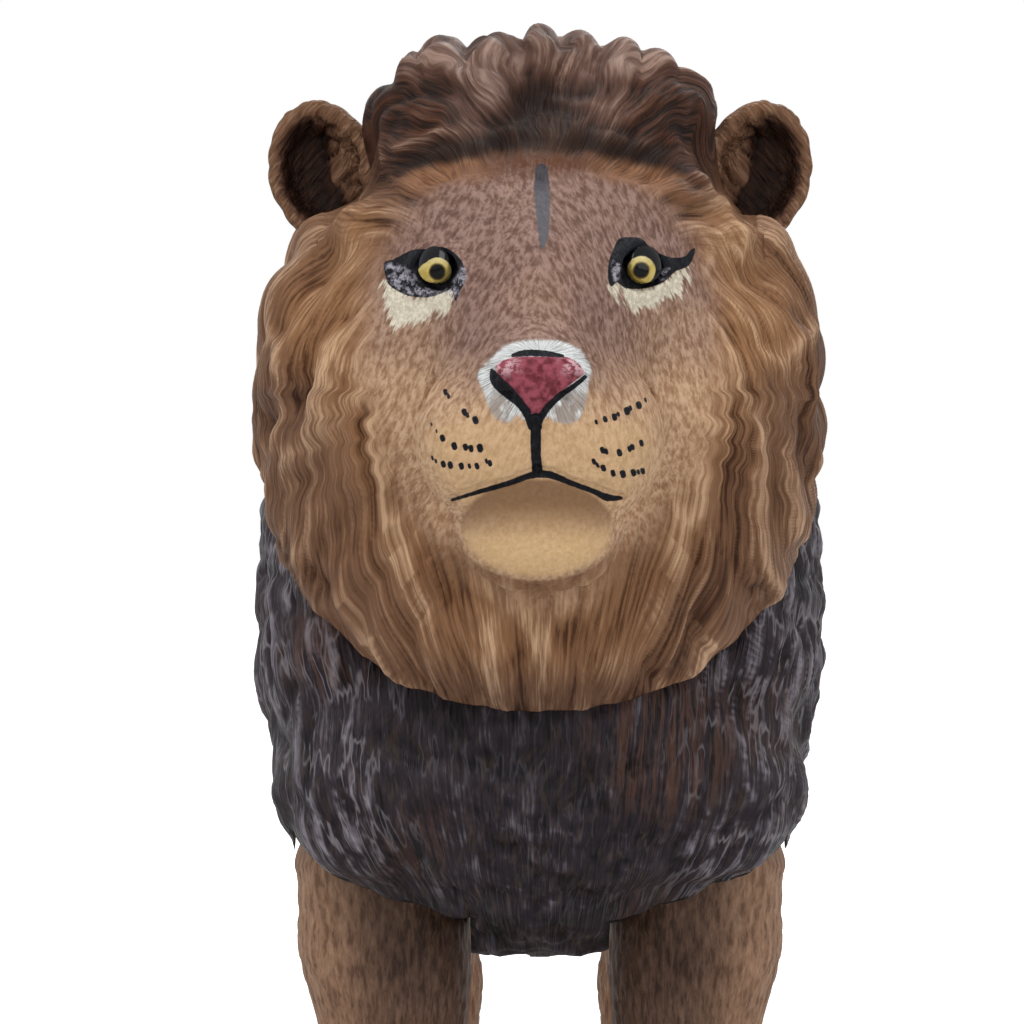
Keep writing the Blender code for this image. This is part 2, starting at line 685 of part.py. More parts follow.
def build_ear(side_name, side, cutters):
    """Make an ear to be joined to the head, hollowed on its front."""
    centre = Vector(HEAD_CENTRE + EAR_PLACE_SHARE * np.array((side, 1.0, 1.0)) * HEAD_UNIT)
    bpy.ops.mesh.primitive_uv_sphere_add(segments=16, ring_count=10, radius=1.0)
    ear = bpy.context.active_object
    ear.name = f"ear_{side_name}"
    ear.location = centre
    ear.scale = (EAR_HALF_WIDTH, EAR_HALF_DEPTH, EAR_HALF_HEIGHT)
    ear.rotation_euler = (math.radians(-12.0), math.radians(14.0 * side), math.radians(22.0 * side))
    move_to(ear, cutters)
    hide_cutter(ear)
    bpy.ops.mesh.primitive_uv_sphere_add(segments=12, ring_count=8, radius=1.0)
    bowl = bpy.context.active_object
    bowl.name = f"ear_{side_name}_bowl"
    bowl.location = centre + Vector((side * EAR_HALF_WIDTH * 0.10, -EAR_HALF_DEPTH, -EAR_HALF_HEIGHT * 0.12))
    bowl.scale = (EAR_HALF_WIDTH * 0.68, EAR_HALF_DEPTH * 0.95, EAR_HALF_HEIGHT * 0.68)
    bowl.rotation_euler = ear.rotation_euler
    move_to(bowl, cutters)
    hide_cutter(bowl)
    return ear, bowl


def eye_place(field, side):
    """Find the skin of the face in front of an eye, and the way it faces."""
    share = EYE_PLACE_SHARE * np.array((side, 1.0, 1.0))
    start = (HEAD_CENTRE + share * HEAD_UNIT)[None, :]
    forward = np.array(((0.0, -1.0, 0.0),))
    point = surface_points(field, start, forward, 2.0 * HEAD_REACH)[0]
    nudge = EYE_RADIUS / 4.0
    slope = []
    for axis in np.eye(3):
        ahead = field((point + axis * nudge)[None, :])[0]
        behind = field((point - axis * nudge)[None, :])[0]
        slope.append(ahead - behind)
    facing = np.array(slope)
    return point, facing / np.linalg.norm(facing)


def eye_profile(room=0.0):
    """Profile of an eye: a domed button, or with room the recess that it sits in."""
    radius = EYE_RADIUS + room
    dome = [
        (radius * math.sin(turn), EYE_PROUD * math.cos(turn))
        for turn in (0.0, math.radians(25.0), math.radians(50.0), math.radians(72.0), math.radians(90.0))
    ]
    if room:
        dome = [(0.0, OVERRUN / 4.0), (radius, OVERRUN / 4.0)]
    return tuple(dome) + ((radius, -EYE_SEAT - room), (0.0, -EYE_SEAT - room))


def build_head(parts, cutters):
    """Make the hollow head with its ears, its eyes and the recesses that they sit in."""
    field = head_field()
    head = add_object("head", head_loft(combed_head(field), 20, 13, 88), NECK_CENTRE, MANE_BROWN, parts)
    core = add_object("head_core", head_loft(shrunk(field, WALL), 8, 6, 20), NECK_CENTRE, None, cutters)
    behind = tuple(-NECK_AXIS)
    face_cut = half_space("head_face", NECK_CENTRE, behind, -FACE_GAP / 2.0, cutters)
    wall_cut = half_space("head_wall", NECK_CENTRE, behind, -FACE_GAP / 2.0 - WALL, cutters)
    for side_name, side in (("left", 1.0), ("right", -1.0)):
        ear, bowl = build_ear(side_name, side, cutters)
        cut(head, ear, "UNION")
        cut(head, bowl)
    cut(head, face_cut)
    cut(core, wall_cut)
    cut(head, core)
    for side_name, side in (("left", 1.0), ("right", -1.0)):
        point, facing = eye_place(field, side)
        turned(f"eye_{side_name}", eye_profile(), point, facing, 20, EYE_YELLOW, parts)
        recess = turned(f"eye_{side_name}_recess", eye_profile(FACE_GAP), point, facing, 20, None, cutters)
        cut(head, recess)
    plain = plug_profile(NECK_PLUG_RADIUS, NECK_FLANGE_RADIUS)
    roomy = plug_profile(NECK_PLUG_RADIUS, NECK_FLANGE_RADIUS, FACE_GAP)
    turned("neck_plug", plain, NECK_CENTRE, NECK_AXIS, 24, PLUG_PLASTIC, parts)
    seat = turned("neck_plug_seat", roomy, NECK_CENTRE, NECK_AXIS, 24, None, cutters)
    cut(head, seat)
    return head, seat


def tail_root(field):
    """Find where the tail leaves the rump: the middle of its seat, and the way it points."""
    slope = math.radians(TAIL_SLOPE_DEG)
    axis = np.array((0.0, math.cos(slope), math.sin(slope)))
    end_y, end_z = TORSO_SPINE_SHARES[1]
    start = (TORSO_CENTRE + np.array((0.0, end_y, end_z)) * TORSO_UNIT)[None, :]
    skin = surface_points(field, start, axis[None, :], 2.0 * TORSO_HALF_HEIGHT)[0]
    return skin - axis * WALL / 2.0, axis


def build_tail(torso, parts, cutters):
    """Make the hanging tail with its tuft, and the flat seat in the rump that it turns on."""
    root, axis = tail_root(torso_field())
    start = root + axis * FACE_GAP / 2.0
    corners = [start]
    for reach, drop in TAIL_BEND_SHARES:
        corners.append(start + np.array((0.0, reach * TAIL_REACH, drop * TAIL_DROP)))
    places = np.array(
        [0.0, 0.04, 0.10, 0.18, 0.28, 0.38, 0.48, 0.58, 0.66, 0.72, 0.77, 0.82, 0.87, 0.92, 0.96, 0.985]
    )
    thickness = line_at(TAIL_THICKNESS_SHARES, places) * TAIL_ROOT_RADIUS
    tuft = line_at(TUFT_THICKNESS_SHARES, places) * TUFT_RADIUS
    radii = np.where(places < TUFT_THICKNESS_SHARES[0][0], thickness, tuft)
    rings = []
    for share, radius in zip(places, radii):
        point, way = bend_at(corners, share)
        if share == 0.0:
            way = axis
        up = np.cross(way, (1.0, 0.0, 0.0))
        turns = [2.0 * math.pi * step / 12 for step in range(12)]
        rings.append([point + radius * (math.cos(t) * np.array((1.0, 0.0, 0.0)) + math.sin(t) * up) for t in turns])
    tip = bend_at(corners, 1.0)[0]
    tail = add_object("tail", loft(rings, last_pole=tip), root, COAT_TAN, parts)
    seat_radius = TAIL_ROOT_RADIUS + SWING_GAP
    spot = ((0.0, OVERRUN), (seat_radius, OVERRUN), (seat_radius, -FACE_GAP / 2.0), (0.0, -FACE_GAP / 2.0))
    cut(torso, turned("tail_spot_face", spot, root, axis, 20, None, cutters))
    plain = plug_profile(TAIL_PLUG_RADIUS, TAIL_FLANGE_RADIUS)
    roomy = plug_profile(TAIL_PLUG_RADIUS, TAIL_FLANGE_RADIUS, FACE_GAP)
    turned("tail_plug", plain, root, axis, 12, PLUG_PLASTIC, parts)
    seat = turned("tail_plug_seat", roomy, root, axis, 12, None, cutters)
    cut(tail, seat)
    cut(torso, seat)


def bend_at(corners, share):
    """Point and direction on the curve that four corner points draw."""
    a, b, c, d = corners
    rest = 1.0 - share
    point = rest**3 * a + 3 * rest**2 * share * b + 3 * rest * share**2 * c + share**3 * d
    way = rest**2 * (b - a) + 2 * rest * share * (c - b) + share**2 * (d - c)
    return point, way / np.linalg.norm(way)


def main():
    """Build the figure."""
    clear_scene()
    parts = add_collection("lion_figure")
    cutters = add_collection("cutters")
    legs = (
        Leg(
            "foreleg",
            SHOULDER_Y,
            SHOULDER_RADIUS,
            SHOULDER_TOP_SHARES,
            FORELEG_FORM_SHARES,
            FORELEG_SPINE_SHARES,
            FOREPAW_PLACE_SHARE,
        ),
        Leg(
            "hindleg",
            HIP_Y,
            HIP_RADIUS,
            HIP_TOP_SHARES,
            HINDLEG_FORM_SHARES,
            HINDLEG_SPINE_SHARES,
            HINDPAW_PLACE_SHARE,
        ),
    )
    torso = build_torso(legs, parts, cutters)
    _, neck_seat = build_head(parts, cutters)
    cut(torso, neck_seat)
    for leg in legs:
        for side_name, side in (("left", 1.0), ("right", -1.0)):
            _, _, seat = leg.build(side_name, side, parts, cutters)
            cut(torso, seat)
    build_tail(torso, parts, cutters)


main()
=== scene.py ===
"""Toy lion in painted soft vinyl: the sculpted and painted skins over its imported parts.

The lion faces -Y and its own left side is +X. Every skin is found by looking out from inside a blend of round
forms, combed into locks of hair, and painted by materials that follow the lie of the hair.
"""

import logging
import math
from dataclasses import dataclass, field
from enum import Enum
from typing import Iterable, Union

import bmesh
import bpy
import numpy as np
from mathutils import Matrix, Vector


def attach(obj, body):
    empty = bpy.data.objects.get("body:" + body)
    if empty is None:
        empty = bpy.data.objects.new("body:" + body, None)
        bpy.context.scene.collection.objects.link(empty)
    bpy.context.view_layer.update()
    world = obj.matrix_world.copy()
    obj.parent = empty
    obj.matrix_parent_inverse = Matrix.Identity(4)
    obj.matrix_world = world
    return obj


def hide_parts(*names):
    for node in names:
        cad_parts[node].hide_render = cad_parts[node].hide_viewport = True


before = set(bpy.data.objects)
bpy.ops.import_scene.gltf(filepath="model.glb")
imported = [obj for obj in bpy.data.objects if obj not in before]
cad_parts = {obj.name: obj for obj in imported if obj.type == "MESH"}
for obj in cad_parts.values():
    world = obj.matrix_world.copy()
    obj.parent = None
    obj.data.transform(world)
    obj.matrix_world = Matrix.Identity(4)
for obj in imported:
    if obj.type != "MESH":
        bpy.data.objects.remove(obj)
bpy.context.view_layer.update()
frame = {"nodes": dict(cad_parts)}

MM = 0.001
Colour = tuple[float, float, float]
Point = tuple[float, float]
Share = tuple[tuple[float, float, float], tuple[float, float, float]]

log = logging.getLogger("lion")


class Side(Enum):
    """The lion's own sides."""

    LEFT = 1.0
    RIGHT = -1.0

    @property
    def mirror(self) -> np.ndarray:
        """What turns a place on the left into the same place on this side."""
        return np.array((self.value, 1.0, 1.0))


class Kind(Enum):
    """The two kinds of leg."""

    FORE = "foreleg"
    HIND = "hindleg"


@dataclass(frozen=True)
class Stance:
    """Sizes that several pieces share."""

    neck: tuple[float, float, float] = (0.0, -0.078006, 0.133)
    neck_slope: float = math.radians(43.0)
    axle_height: float = 0.105
    shoulder_y: float = -0.068006
    hip_y: float = 0.079994
    wheelbase: float = 0.148
    half_width: float = 0.041
    half_height: float = 0.045
    leg_seat: float = 0.010
    face_gap: float = 0.0003
    swing_gap: float = 0.0006
    wall: float = 0.0025
    swing: float = math.radians(15.0)
    leg_half_width: float = 0.0122
    paw_half_length: float = 0.018

    @property
    def neck_axis(self) -> np.ndarray:
        """Direction in which the neck face looks."""
        return np.array((0.0, -math.cos(self.neck_slope), math.sin(self.neck_slope)))

    @property
    def neck_up(self) -> np.ndarray:
        """Direction that runs up over the neck face."""
        return np.array((0.0, math.sin(self.neck_slope), math.cos(self.neck_slope)))

    @property
    def leg_centre(self) -> float:
        """Middle plane of a leg."""
        return self.leg_seat + self.face_gap + self.leg_half_width


STANCE = Stance()


@dataclass(frozen=True)
class Lens:
    """Where the photograph was taken from, on a square frame of 1024 pixels."""

    distance: float = 0.715
    height: float = 0.1255
    focal: float = 4348.6
    middle: Point = (540.0, 512.0)
    frame: float = 1024.0

    def pixels(self, points: np.ndarray) -> tuple[np.ndarray, np.ndarray]:
        """Project points into the photograph's frame.

        Args:
            points: places in metres, with X, Y and Z last.

        Returns:
            The column and the row of each point, in pixels.
        """
        reach = points[..., 1] + self.distance
        column = self.middle[0] + self.focal * points[..., 0] / reach
        row = self.middle[1] - self.focal * (points[..., 2] - self.height) / reach
        return column, row


LENS = Lens()
PIXEL = 0.133  # millimetres on the face that one pixel shows
EYE_PIXEL = 0.1345  # the same at the eyes, which lie farther back
FAR = 30.0  # distance kept where no stroke is near
FAR_PIXELS = 99.0  # the same in pixels, while a stroke is measured
BRUSH_REACH = 30.0  # pixels round a stroke in which it is measured

HEAD_FORM_SHARES: tuple[Share, ...] = (
    ((0.00, 0.17, -0.06), (1.00, 0.60, 0.82)),
    ((0.00, -0.10, -0.36), (0.76, 0.36, 0.48)),
    ((0.00, -0.22, 0.33), (0.68, 0.47, 0.50)),
    ((0.48, -0.22, 0.04), (0.38, 0.34, 0.36)),
    ((0.00, -0.52, 0.20), (0.34, 0.33, 0.34)),
    ((0.00, -0.62, -0.07), (0.36, 0.32, 0.23)),
    ((0.21, -0.70, -0.10), (0.19, 0.20, 0.17)),
    ((0.00, -0.86, 0.08), (0.17, 0.14, 0.11)),
    ((0.00, -0.60, -0.33), (0.28, 0.19, 0.155)),
    ((0.80, -0.02, 0.12), (0.21, 0.30, 0.33)),
    ((0.70, -0.02, -0.17), (0.26, 0.28, 0.33)),
    ((0.28, 0.00, 0.69), (0.33, 0.30, 0.25)),
    ((0.00, -0.04, 0.74), (0.34, 0.30, 0.23)),
    ((0.00, 0.42, 0.30), (0.95, 0.50, 0.52)),
    ((0.545, -0.02, 0.800), (0.075, 0.13, 0.095)),
    ((0.440, -0.05, 0.856), (0.070, 0.12, 0.095)),
    ((0.325, -0.07, 0.888), (0.070, 0.12, 0.095)),
    ((0.155, -0.09, 0.905), (0.080, 0.13, 0.095)),
    ((0.000, -0.11, 0.925), (0.075, 0.12, 0.095)),
    ((0.430, -0.20, 0.740), (0.085, 0.10, 0.100)),
    ((0.215, -0.25, 0.800), (0.100, 0.09, 0.100)),
    ((0.450, 0.12, 0.820), (0.100, 0.13, 0.090)),
    ((0.220, 0.12, 0.890), (0.100, 0.13, 0.085)),
)
EAR_PROFILE = (
    (0.02, -0.86), (0.35, -0.84), (0.66, -0.70), (0.88, -0.44), (0.99, -0.08), (1.02, 0.22), (0.97, 0.48),
    (0.88, 0.56), (0.78, 0.46), (0.71, 0.20), (0.64, -0.10), (0.50, -0.34), (0.28, -0.46), (0.03, -0.50),
)
TORSO_MANE_SHARES: tuple[Share, ...] = (
    ((0.00, 0.020, 0.38), (0.99, 0.260, 1.02)),
    ((0.00, 0.120, 0.34), (0.84, 0.340, 0.94)),
    ((0.00, -0.080, -0.26), (0.80, 0.182, 0.69)),
    ((0.49, -0.135, -0.42), (0.41, 0.105, 0.34)),
    ((0.70, -0.035, 0.04), (0.30, 0.170, 0.60)),
)
TORSO_COAT_SHARES: tuple[Share, ...] = (
    ((0.00, 0.330, 0.27), (0.74, 0.420, 0.80)),
    ((0.00, 0.680, 0.31), (0.66, 0.420, 0.68)),
    ((0.00, 0.990, 0.33), (0.76, 0.290, 0.72)),
)
TORSO_SPINE_SHARES = ((0.04, 0.16), (1.07, 0.30))
FORELEG_FORM_SHARES: tuple[Share, ...] = (
    ((-0.02, 0.02, 0.79), (1.02, 0.70, 0.26)),
    ((-0.04, 0.08, 0.56), (0.96, 0.62, 0.22)),
    ((-0.05, 0.10, 0.33), (0.93, 0.60, 0.26)),
    ((-0.05, 0.04, 0.13), (0.95, 0.66, 0.18)),
)
HINDLEG_FORM_SHARES: tuple[Share, ...] = (
    ((-0.20, -0.26, 0.80), (1.16, 0.66, 0.24)),
    ((-0.08, -0.24, 0.63), (0.98, 0.50, 0.17)),
    ((-0.06, 0.06, 0.50), (0.94, 0.46, 0.15)),
    ((-0.06, 0.34, 0.37), (0.92, 0.43, 0.14)),
    ((-0.06, 0.24, 0.20), (0.92, 0.40, 0.20)),
)
PAW_FORM_SHARES: tuple[Share, ...] = (
    ((-0.04, 0.10, 0.055), (1.04, 0.88, 0.095)),
    ((-0.42, -0.62, 0.050), (0.36, 0.42, 0.068)),
    ((0.32, -0.64, 0.050), (0.36, 0.42, 0.068)),
    ((-0.86, -0.40, 0.045), (0.26, 0.36, 0.058)),
    ((0.78, -0.42, 0.045), (0.26, 0.36, 0.058)),
)
FORELEG_SPINE_SHARES = ((0.00, -0.20), (0.10, -0.08), (0.25, 0.06), (0.55, 0.08), (1.00, 0.00))
HINDLEG_SPINE_SHARES = (
    (0.00, -0.04),
    (0.09, 0.02),
    (0.20, 0.24),
    (0.37, 0.34),
    (0.50, 0.06),
    (0.63, -0.22),
    (0.80, -0.18),
    (1.00, 0.00),
)
TAIL_THICKNESS_SHARES = ((0.0, 1.00), (0.06, 0.98), (0.18, 0.72), (0.45, 0.60), (0.70, 0.58), (1.0, 0.58))
TUFT_THICKNESS_SHARES = ((0.70, 0.50), (0.76, 0.72), (0.84, 1.00), (0.93, 0.84), (0.985, 0.40), (1.0, 0.06))
TAIL_BEND_SHARES = ((0.56, 0.06), (1.18, -0.30), (0.86, -1.00))


def ramp(values: np.ndarray, low: float, high: float) -> np.ndarray:
    """Rise smoothly from 0 at low to 1 at high, or fall where high is the lower one."""
    share = np.clip((values - low) / (high - low), 0.0, 1.0)
    return share * share * (3.0 - 2.0 * share)


def band(values: np.ndarray, start: Point, end: Point) -> np.ndarray:
    """Rise smoothly from 0 to 1 over the first pair of values, times the same over the second pair."""
    return ramp(values, *start) * ramp(values, *end)


def blend(mask: np.ndarray, under: np.ndarray, over: np.ndarray) -> np.ndarray:
    """Go over from one value to the other as the mask goes from 0 to 1."""
    return (1.0 - mask) * under + mask * over


def triple(*values: Union[np.ndarray, float]) -> np.ndarray:
    """Join three numbers of every point into one vector each."""
    return np.stack(np.broadcast_arrays(*values), -1)


def unit_vectors(vectors: np.ndarray) -> np.ndarray:
    """Bring vectors to a length of one."""
    return vectors / np.linalg.norm(vectors, axis=-1, keepdims=True)


def all_round(count: int, start: float = 0.5) -> np.ndarray:
    """Even turns round a circle, beginning at a share of the first step."""
    return 2.0 * math.pi * (np.arange(count) + start) / count


def rings(radii: np.ndarray, heights: np.ndarray, turns: np.ndarray) -> np.ndarray:
    """Points on rings round Z, with one radius and one height for each ring."""
    wide = radii[:, None]
    return triple(wide * np.cos(turns), wide * np.sin(turns), heights[:, None])


def wrapped(turn: np.ndarray, radius: float, along: np.ndarray) -> np.ndarray:
    """Lay places round a column of one radius, with the way along it last."""
    return triple(np.cos(turn) * radius, np.sin(turn) * radius, along)


def run_down(points: np.ndarray, still: int = 0) -> np.ndarray:
    """Distance gone down the rows in millimetres, where the first rows may count as standing still."""
    steps = np.linalg.norm(np.diff(points, axis=0, prepend=points[:1]), axis=-1)
    steps[:still] = 0.0
    return np.cumsum(steps, axis=0) / MM


def scatter(*cells: Union[np.ndarray, int]) -> np.ndarray:
    """Turn whole numbers into even random values.

    Args:
        cells: the cell's numbers, and a seed.

    Returns:
        A value from 0 to 1 for each cell, always the same for the same numbers.
    """
    mixed = np.zeros(np.broadcast(*cells).shape, dtype=np.uint32)
    for cell in cells:
        mixed = (mixed ^ np.asarray(cell).astype(np.int64).astype(np.uint32)) * np.uint32(2654435761)
        mixed ^= mixed >> np.uint32(15)
        mixed *= np.uint32(2246822519)
        mixed ^= mixed >> np.uint32(13)
    return mixed / 4294967296.0


def cloud(points: np.ndarray, seed: int) -> np.ndarray:
    """Smooth random values from -1 to 1 that change over one unit."""
    home = np.floor(points)
    part = points - home
    part = part * part * (3.0 - 2.0 * part)
    total = np.zeros(points.shape[:-1])
    for corner in range(8):
        step = np.array((corner & 1, corner >> 1 & 1, corner >> 2 & 1))
        cell = home + step
        weight = np.prod(np.where(step, part, 1.0 - part), axis=-1)
        total += weight * scatter(cell[..., 0], cell[..., 1], cell[..., 2], seed)
    return total * 2.0 - 1.0


@dataclass
class Comb:
    """Locks of hair that overlap like shingles."""

    cells: int
    seed: int
    bend: float = 0.7
    slim: float = 0.75

    def locks(self, across: np.ndarray, along: np.ndarray) -> tuple[np.ndarray, np.ndarray]:
        """Lay locks over a skin.

        Args:
            across: place across the hair, one unit for each lock, which comes round after all cells.
            along: place along the hair, one unit for each lock.

        Returns:
            The height from 0 to 1, and a random value for each lock.
        """
        home_across, home_along = np.floor(across), np.floor(along)
        height = np.zeros_like(across)
        chance = np.zeros_like(across)
        for step in ((i, j) for i in (-1, 0, 1) for j in (-2, -1, 0, 1)):
            column, row = home_across + step[0], home_along + step[1]
            key = np.mod(column, self.cells)
            draws = [scatter(key, row, self.seed + number) for number in range(4)]
            run = (along - row - 0.35 - 0.5 * draws[0]) / (1.0 + 0.35 * draws[1])
            drift = (draws[2] - 0.5) * self.bend * (run + 1.0) ** 2 / 2.0
            width = (0.80 + 0.25 * draws[3]) * (1.0 - self.slim * ramp(run, -0.1, 1.05)) * ramp(run, -1.6, -0.4)
            side = (across - column - 0.2 - 0.6 * draws[1] - drift) / np.maximum(width, 0.05)
            lift = ramp(run, -1.0, 0.55) * ramp(run, 1.0, 0.80) * (0.72 + 0.28 * draws[2])
            bulge = lift * np.sqrt(np.clip(1.0 - side * side, 0.0, 1.0))
            better = bulge > height
            height = np.where(better, bulge, height)
            chance = np.where(better, draws[3], chance)
        return height, chance


def tresses(flow: np.ndarray, width: float, length: float, seed: int) -> np.ndarray:
    """Rounded strands with sharp grooves between them.

    Args:
        flow: places in millimetres, with the way that the hair runs last.
        width: about how wide a strand is.
        length: about how long a strand is.
        seed: number of the pattern.

    Returns:
        The height, from 0 in the grooves to 1.
    """
    value = cloud(flow / np.array((width, width, length)), seed)
    return np.clip(np.abs(value) * 2.3, 0.0, 1.0) ** 0.6


def wisps(flow: np.ndarray, width: float, length: float, seed: int) -> np.ndarray:
    """Thin sharp ridges with broad hollows between them, laid out as tresses are."""
    value = cloud(flow / np.array((width, width, length)), seed)
    return np.clip(1.0 - np.abs(value) * 3.2, 0.0, 1.0)


def ridges(flow: np.ndarray, width: float, length: float, seed: int) -> np.ndarray:
    """Ridges that all run along the hair and fade in and out, laid out as tresses are."""
    bend = cloud(flow / np.array((3.0 * width, 3.0 * width, 1.5 * length)), seed)
    line = np.clip(1.0 - 1.3 * np.abs(np.sin(math.pi * (flow[..., 0] / width + 1.3 * bend))), 0.0, 1.0)
    return line * ramp(cloud(flow / np.array((width, width, length)), seed + 1), -0.45, 0.15)


@dataclass(frozen=True)
class Sweep:
    """Hair that runs down round a face or a neck, slowly outwards, and then draws together below it."""

    radius: float
    outward: float
    root_height: float
    root_radius: float
    below: Point = (108.0, 142.0)
    start: float = 25.0

    def flow(self, skin: np.ndarray, turn: np.ndarray, arc: np.ndarray) -> np.ndarray:
        """Lay the hair out flat.

        Args:
            skin: places in metres.
            turn: the turn of each place round the face, from straight up.
            arc: its distance from the middle over the skin, in millimetres.

        Returns:
            Places in millimetres, with the way that the hair runs last.
        """
        around = np.abs(turn)
        low = ramp(np.degrees(around), *self.below)
        spoke = np.arctan2(np.abs(skin[..., 0]), np.maximum(skin[..., 2] - self.root_height, 0.004))
        across = blend(low, arc - self.radius * self.outward * around, self.root_radius * spoke)
        along = blend(low, self.radius * around, arc + self.start)
        return triple(across * np.sign(turn), 0.0, along)


def swept_share(turn: np.ndarray) -> np.ndarray:
    """How far the hair is swept down, from 0 over the top to 1 at the sides and below."""
    return ramp(np.degrees(np.abs(turn)), 46.0, 64.0)


@dataclass(frozen=True)
class MainLocks:
    """The main locks of the mane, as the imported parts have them."""

    head_count: int = 22
    head_depth: float = 1.4
    torso_count: int = 20
    torso_depth: float = 1.3
    torso_length: float = 0.0095
    mane_edge: float = 0.003
    middle: float = 0.5
    ring_middle: float = 0.149
    ring_width: float = 0.577
    ring_top: float = 0.500
    ring_bottom: float = 0.610
    ring_back: float = -0.300
    crest_start: float = 0.60
    crest_rise: float = 0.14

    def on_head(self, local: np.ndarray) -> np.ndarray:
        """Height of the ridges over the head in millimetres, at places in shares of the head's size."""
        across, back, up = local[..., 0], local[..., 1], local[..., 2] - self.ring_middle
        ring = np.hypot(across / self.ring_width, up / np.where(up > 0.0, self.ring_top, self.ring_bottom))
        out = np.maximum(ring - 1.0, 0.0) + np.maximum(back - self.ring_back, 0.0)
        turn = np.arctan2(across, up)
        sway = turn - 0.50 * np.minimum(out, 1.0) * np.sin(turn)
        sway = sway + 0.07 * np.sin(2.0 * math.pi * out + 3.0 * np.abs(turn))
        crest = np.clip((local[..., 2] - self.crest_start) / self.crest_rise, 0.0, 1.0)
        cover = np.clip(out / 0.35, 0.0, 1.0) * (1.0 - 0.60 * crest)
        return self.head_depth * cover * (np.abs(np.sin(self.head_count / 2.0 * sway)) - self.middle)

    def on_torso(self, points: np.ndarray, mane: np.ndarray) -> np.ndarray:
        """Height of the tufts over the torso in millimetres, where mane tells how far inside the mane they are."""
        away = points - STANCE.neck
        turn = np.arctan2(away[..., 0], away @ STANCE.neck_up)
        row = -(away @ STANCE.neck_axis) / self.torso_length
        shift = np.floor(row) % 2.0 * math.pi / 2.0
        tuft = np.abs(np.sin(self.torso_count / 2.0 * turn + shift) * np.sin(math.pi * row))
        cover = np.clip(mane / self.mane_edge, 0.0, 1.0)
        return self.torso_depth * cover * (np.sqrt(tuft) - self.middle)


MAIN_LOCKS = MainLocks()
CREST_NOTCHES = (-30.0, -21.8, -17.0, -10.1, -2.9, 2.9, 8.9, 15.1, 20.4, 30.0)


@dataclass
class Forms:
    """Ellipsoids that blend into one skin."""

    middles: np.ndarray
    sizes: np.ndarray
    softness: float = 0.0020

    @classmethod
    def paired(cls, centre: np.ndarray, unit: np.ndarray, shares: Iterable[Share]) -> "Forms":
        """Read a table of shares, where a form off the centre line is made on both sides."""
        middles, sizes = [], []
        for place, half in shares:
            for side in (1.0, -1.0) if place[0] else (1.0,):
                middles.append(centre + np.array((side * place[0], place[1], place[2])) * unit)
                sizes.append(np.array(half) * unit)
        return cls(np.array(middles), np.array(sizes))

    def joined(self, other: "Forms") -> "Forms":
        """These forms and the other ones together."""
        return Forms(np.concatenate((self.middles, other.middles)), np.concatenate((self.sizes, other.sizes)))

    def value(self, points: np.ndarray) -> np.ndarray:
        """Distance from the blended skin, below zero inside."""
        values = []
        for middle, size in zip(self.middles, self.sizes):
            local = (points - middle) / size
            near = np.maximum(np.sqrt((local**2).sum(axis=-1)), 1e-5)
            slope = np.maximum(np.sqrt(((local / size) ** 2).sum(axis=-1)), 1e-5)
            values.append(near * (near - 1.0) / slope)
        stack = np.stack(values)
        nearest = stack.min(axis=0)
        return nearest - self.softness * np.log(np.exp((nearest - stack) / self.softness).sum(axis=0))

    def reach(self, starts: np.ndarray, ways: np.ndarray) -> np.ndarray:
        """Measure how far out the skin lies along rays from inside.

        Args:
            starts: where the rays start.
            ways: unit directions.

        Returns:
            The distance of the outermost crossing along each ray.
        """
        far = np.zeros(starts.shape[:-1])
        for middle, size in zip(self.middles, self.sizes):
            start, way = (starts - middle) / size, ways / size
            square = (way**2).sum(axis=-1)
            cross = (start * way).sum(axis=-1)
            rest = cross**2 - square * ((start**2).sum(axis=-1) - 1.0)
            root = (np.sqrt(np.maximum(rest, 0.0)) - cross) / square
            far = np.maximum(far, np.where(rest > 0.0, root, 0.0))
        low, high = far, far + 2.2 * self.softness
        for _ in range(8):
            middle_reach = (low + high) / 2.0
            inside = self.value(starts + ways * middle_reach[..., None]) < 0.0
            low = np.where(inside, middle_reach, low)
            high = np.where(inside, high, middle_reach)
        return low


def curve_at(track: np.ndarray, places: np.ndarray) -> np.ndarray:
    """Read smooth curves, one for each column, at places counted in rows.

    Args:
        track: points by row and column.
        places: fractional rows, by new row and column.

    Returns:
        The points at those places.
    """
    last = len(track) - 1
    home = np.clip(np.floor(places).astype(int), 0, last - 1)
    part = (places - home)[..., None]
    columns = np.arange(track.shape[1])[None, :]
    a, b, c, d = (track[np.clip(home + step, 0, last), columns] for step in (-1, 0, 1, 2))
    return b + 0.5 * part * (
        c - a + part * (2.0 * a - 5.0 * b + 4.0 * c - d + part * (3.0 * (b - c) + d - a))
    )


def spread(track: np.ndarray, density: np.ndarray, low: np.ndarray, high: np.ndarray, count: int) -> np.ndarray:
    """Share rows out evenly along each column.

    Args:
        track: points by row and column.
        density: how many rows are wanted at each point, in any unit.
        low: fractional row where each column starts.
        high: fractional row where each column ends.
        count: number of new rows.

    Returns:
        Fractional rows by new row and column.
    """
    steps = np.linalg.norm(np.diff(track, axis=0), axis=-1) * (density[1:] + density[:-1]) / 2.0
    sums = np.concatenate((np.zeros((1, track.shape[1])), np.cumsum(steps + 1e-9, axis=0)))
    rows = np.arange(len(track))
    places = np.empty((count, track.shape[1]))
    for column in range(track.shape[1]):
        ends = np.interp((low[column], high[column]), rows, sums[:, column])
        places[:, column] = np.interp(np.linspace(ends[0], ends[1], count), sums[:, column], rows)
    return places


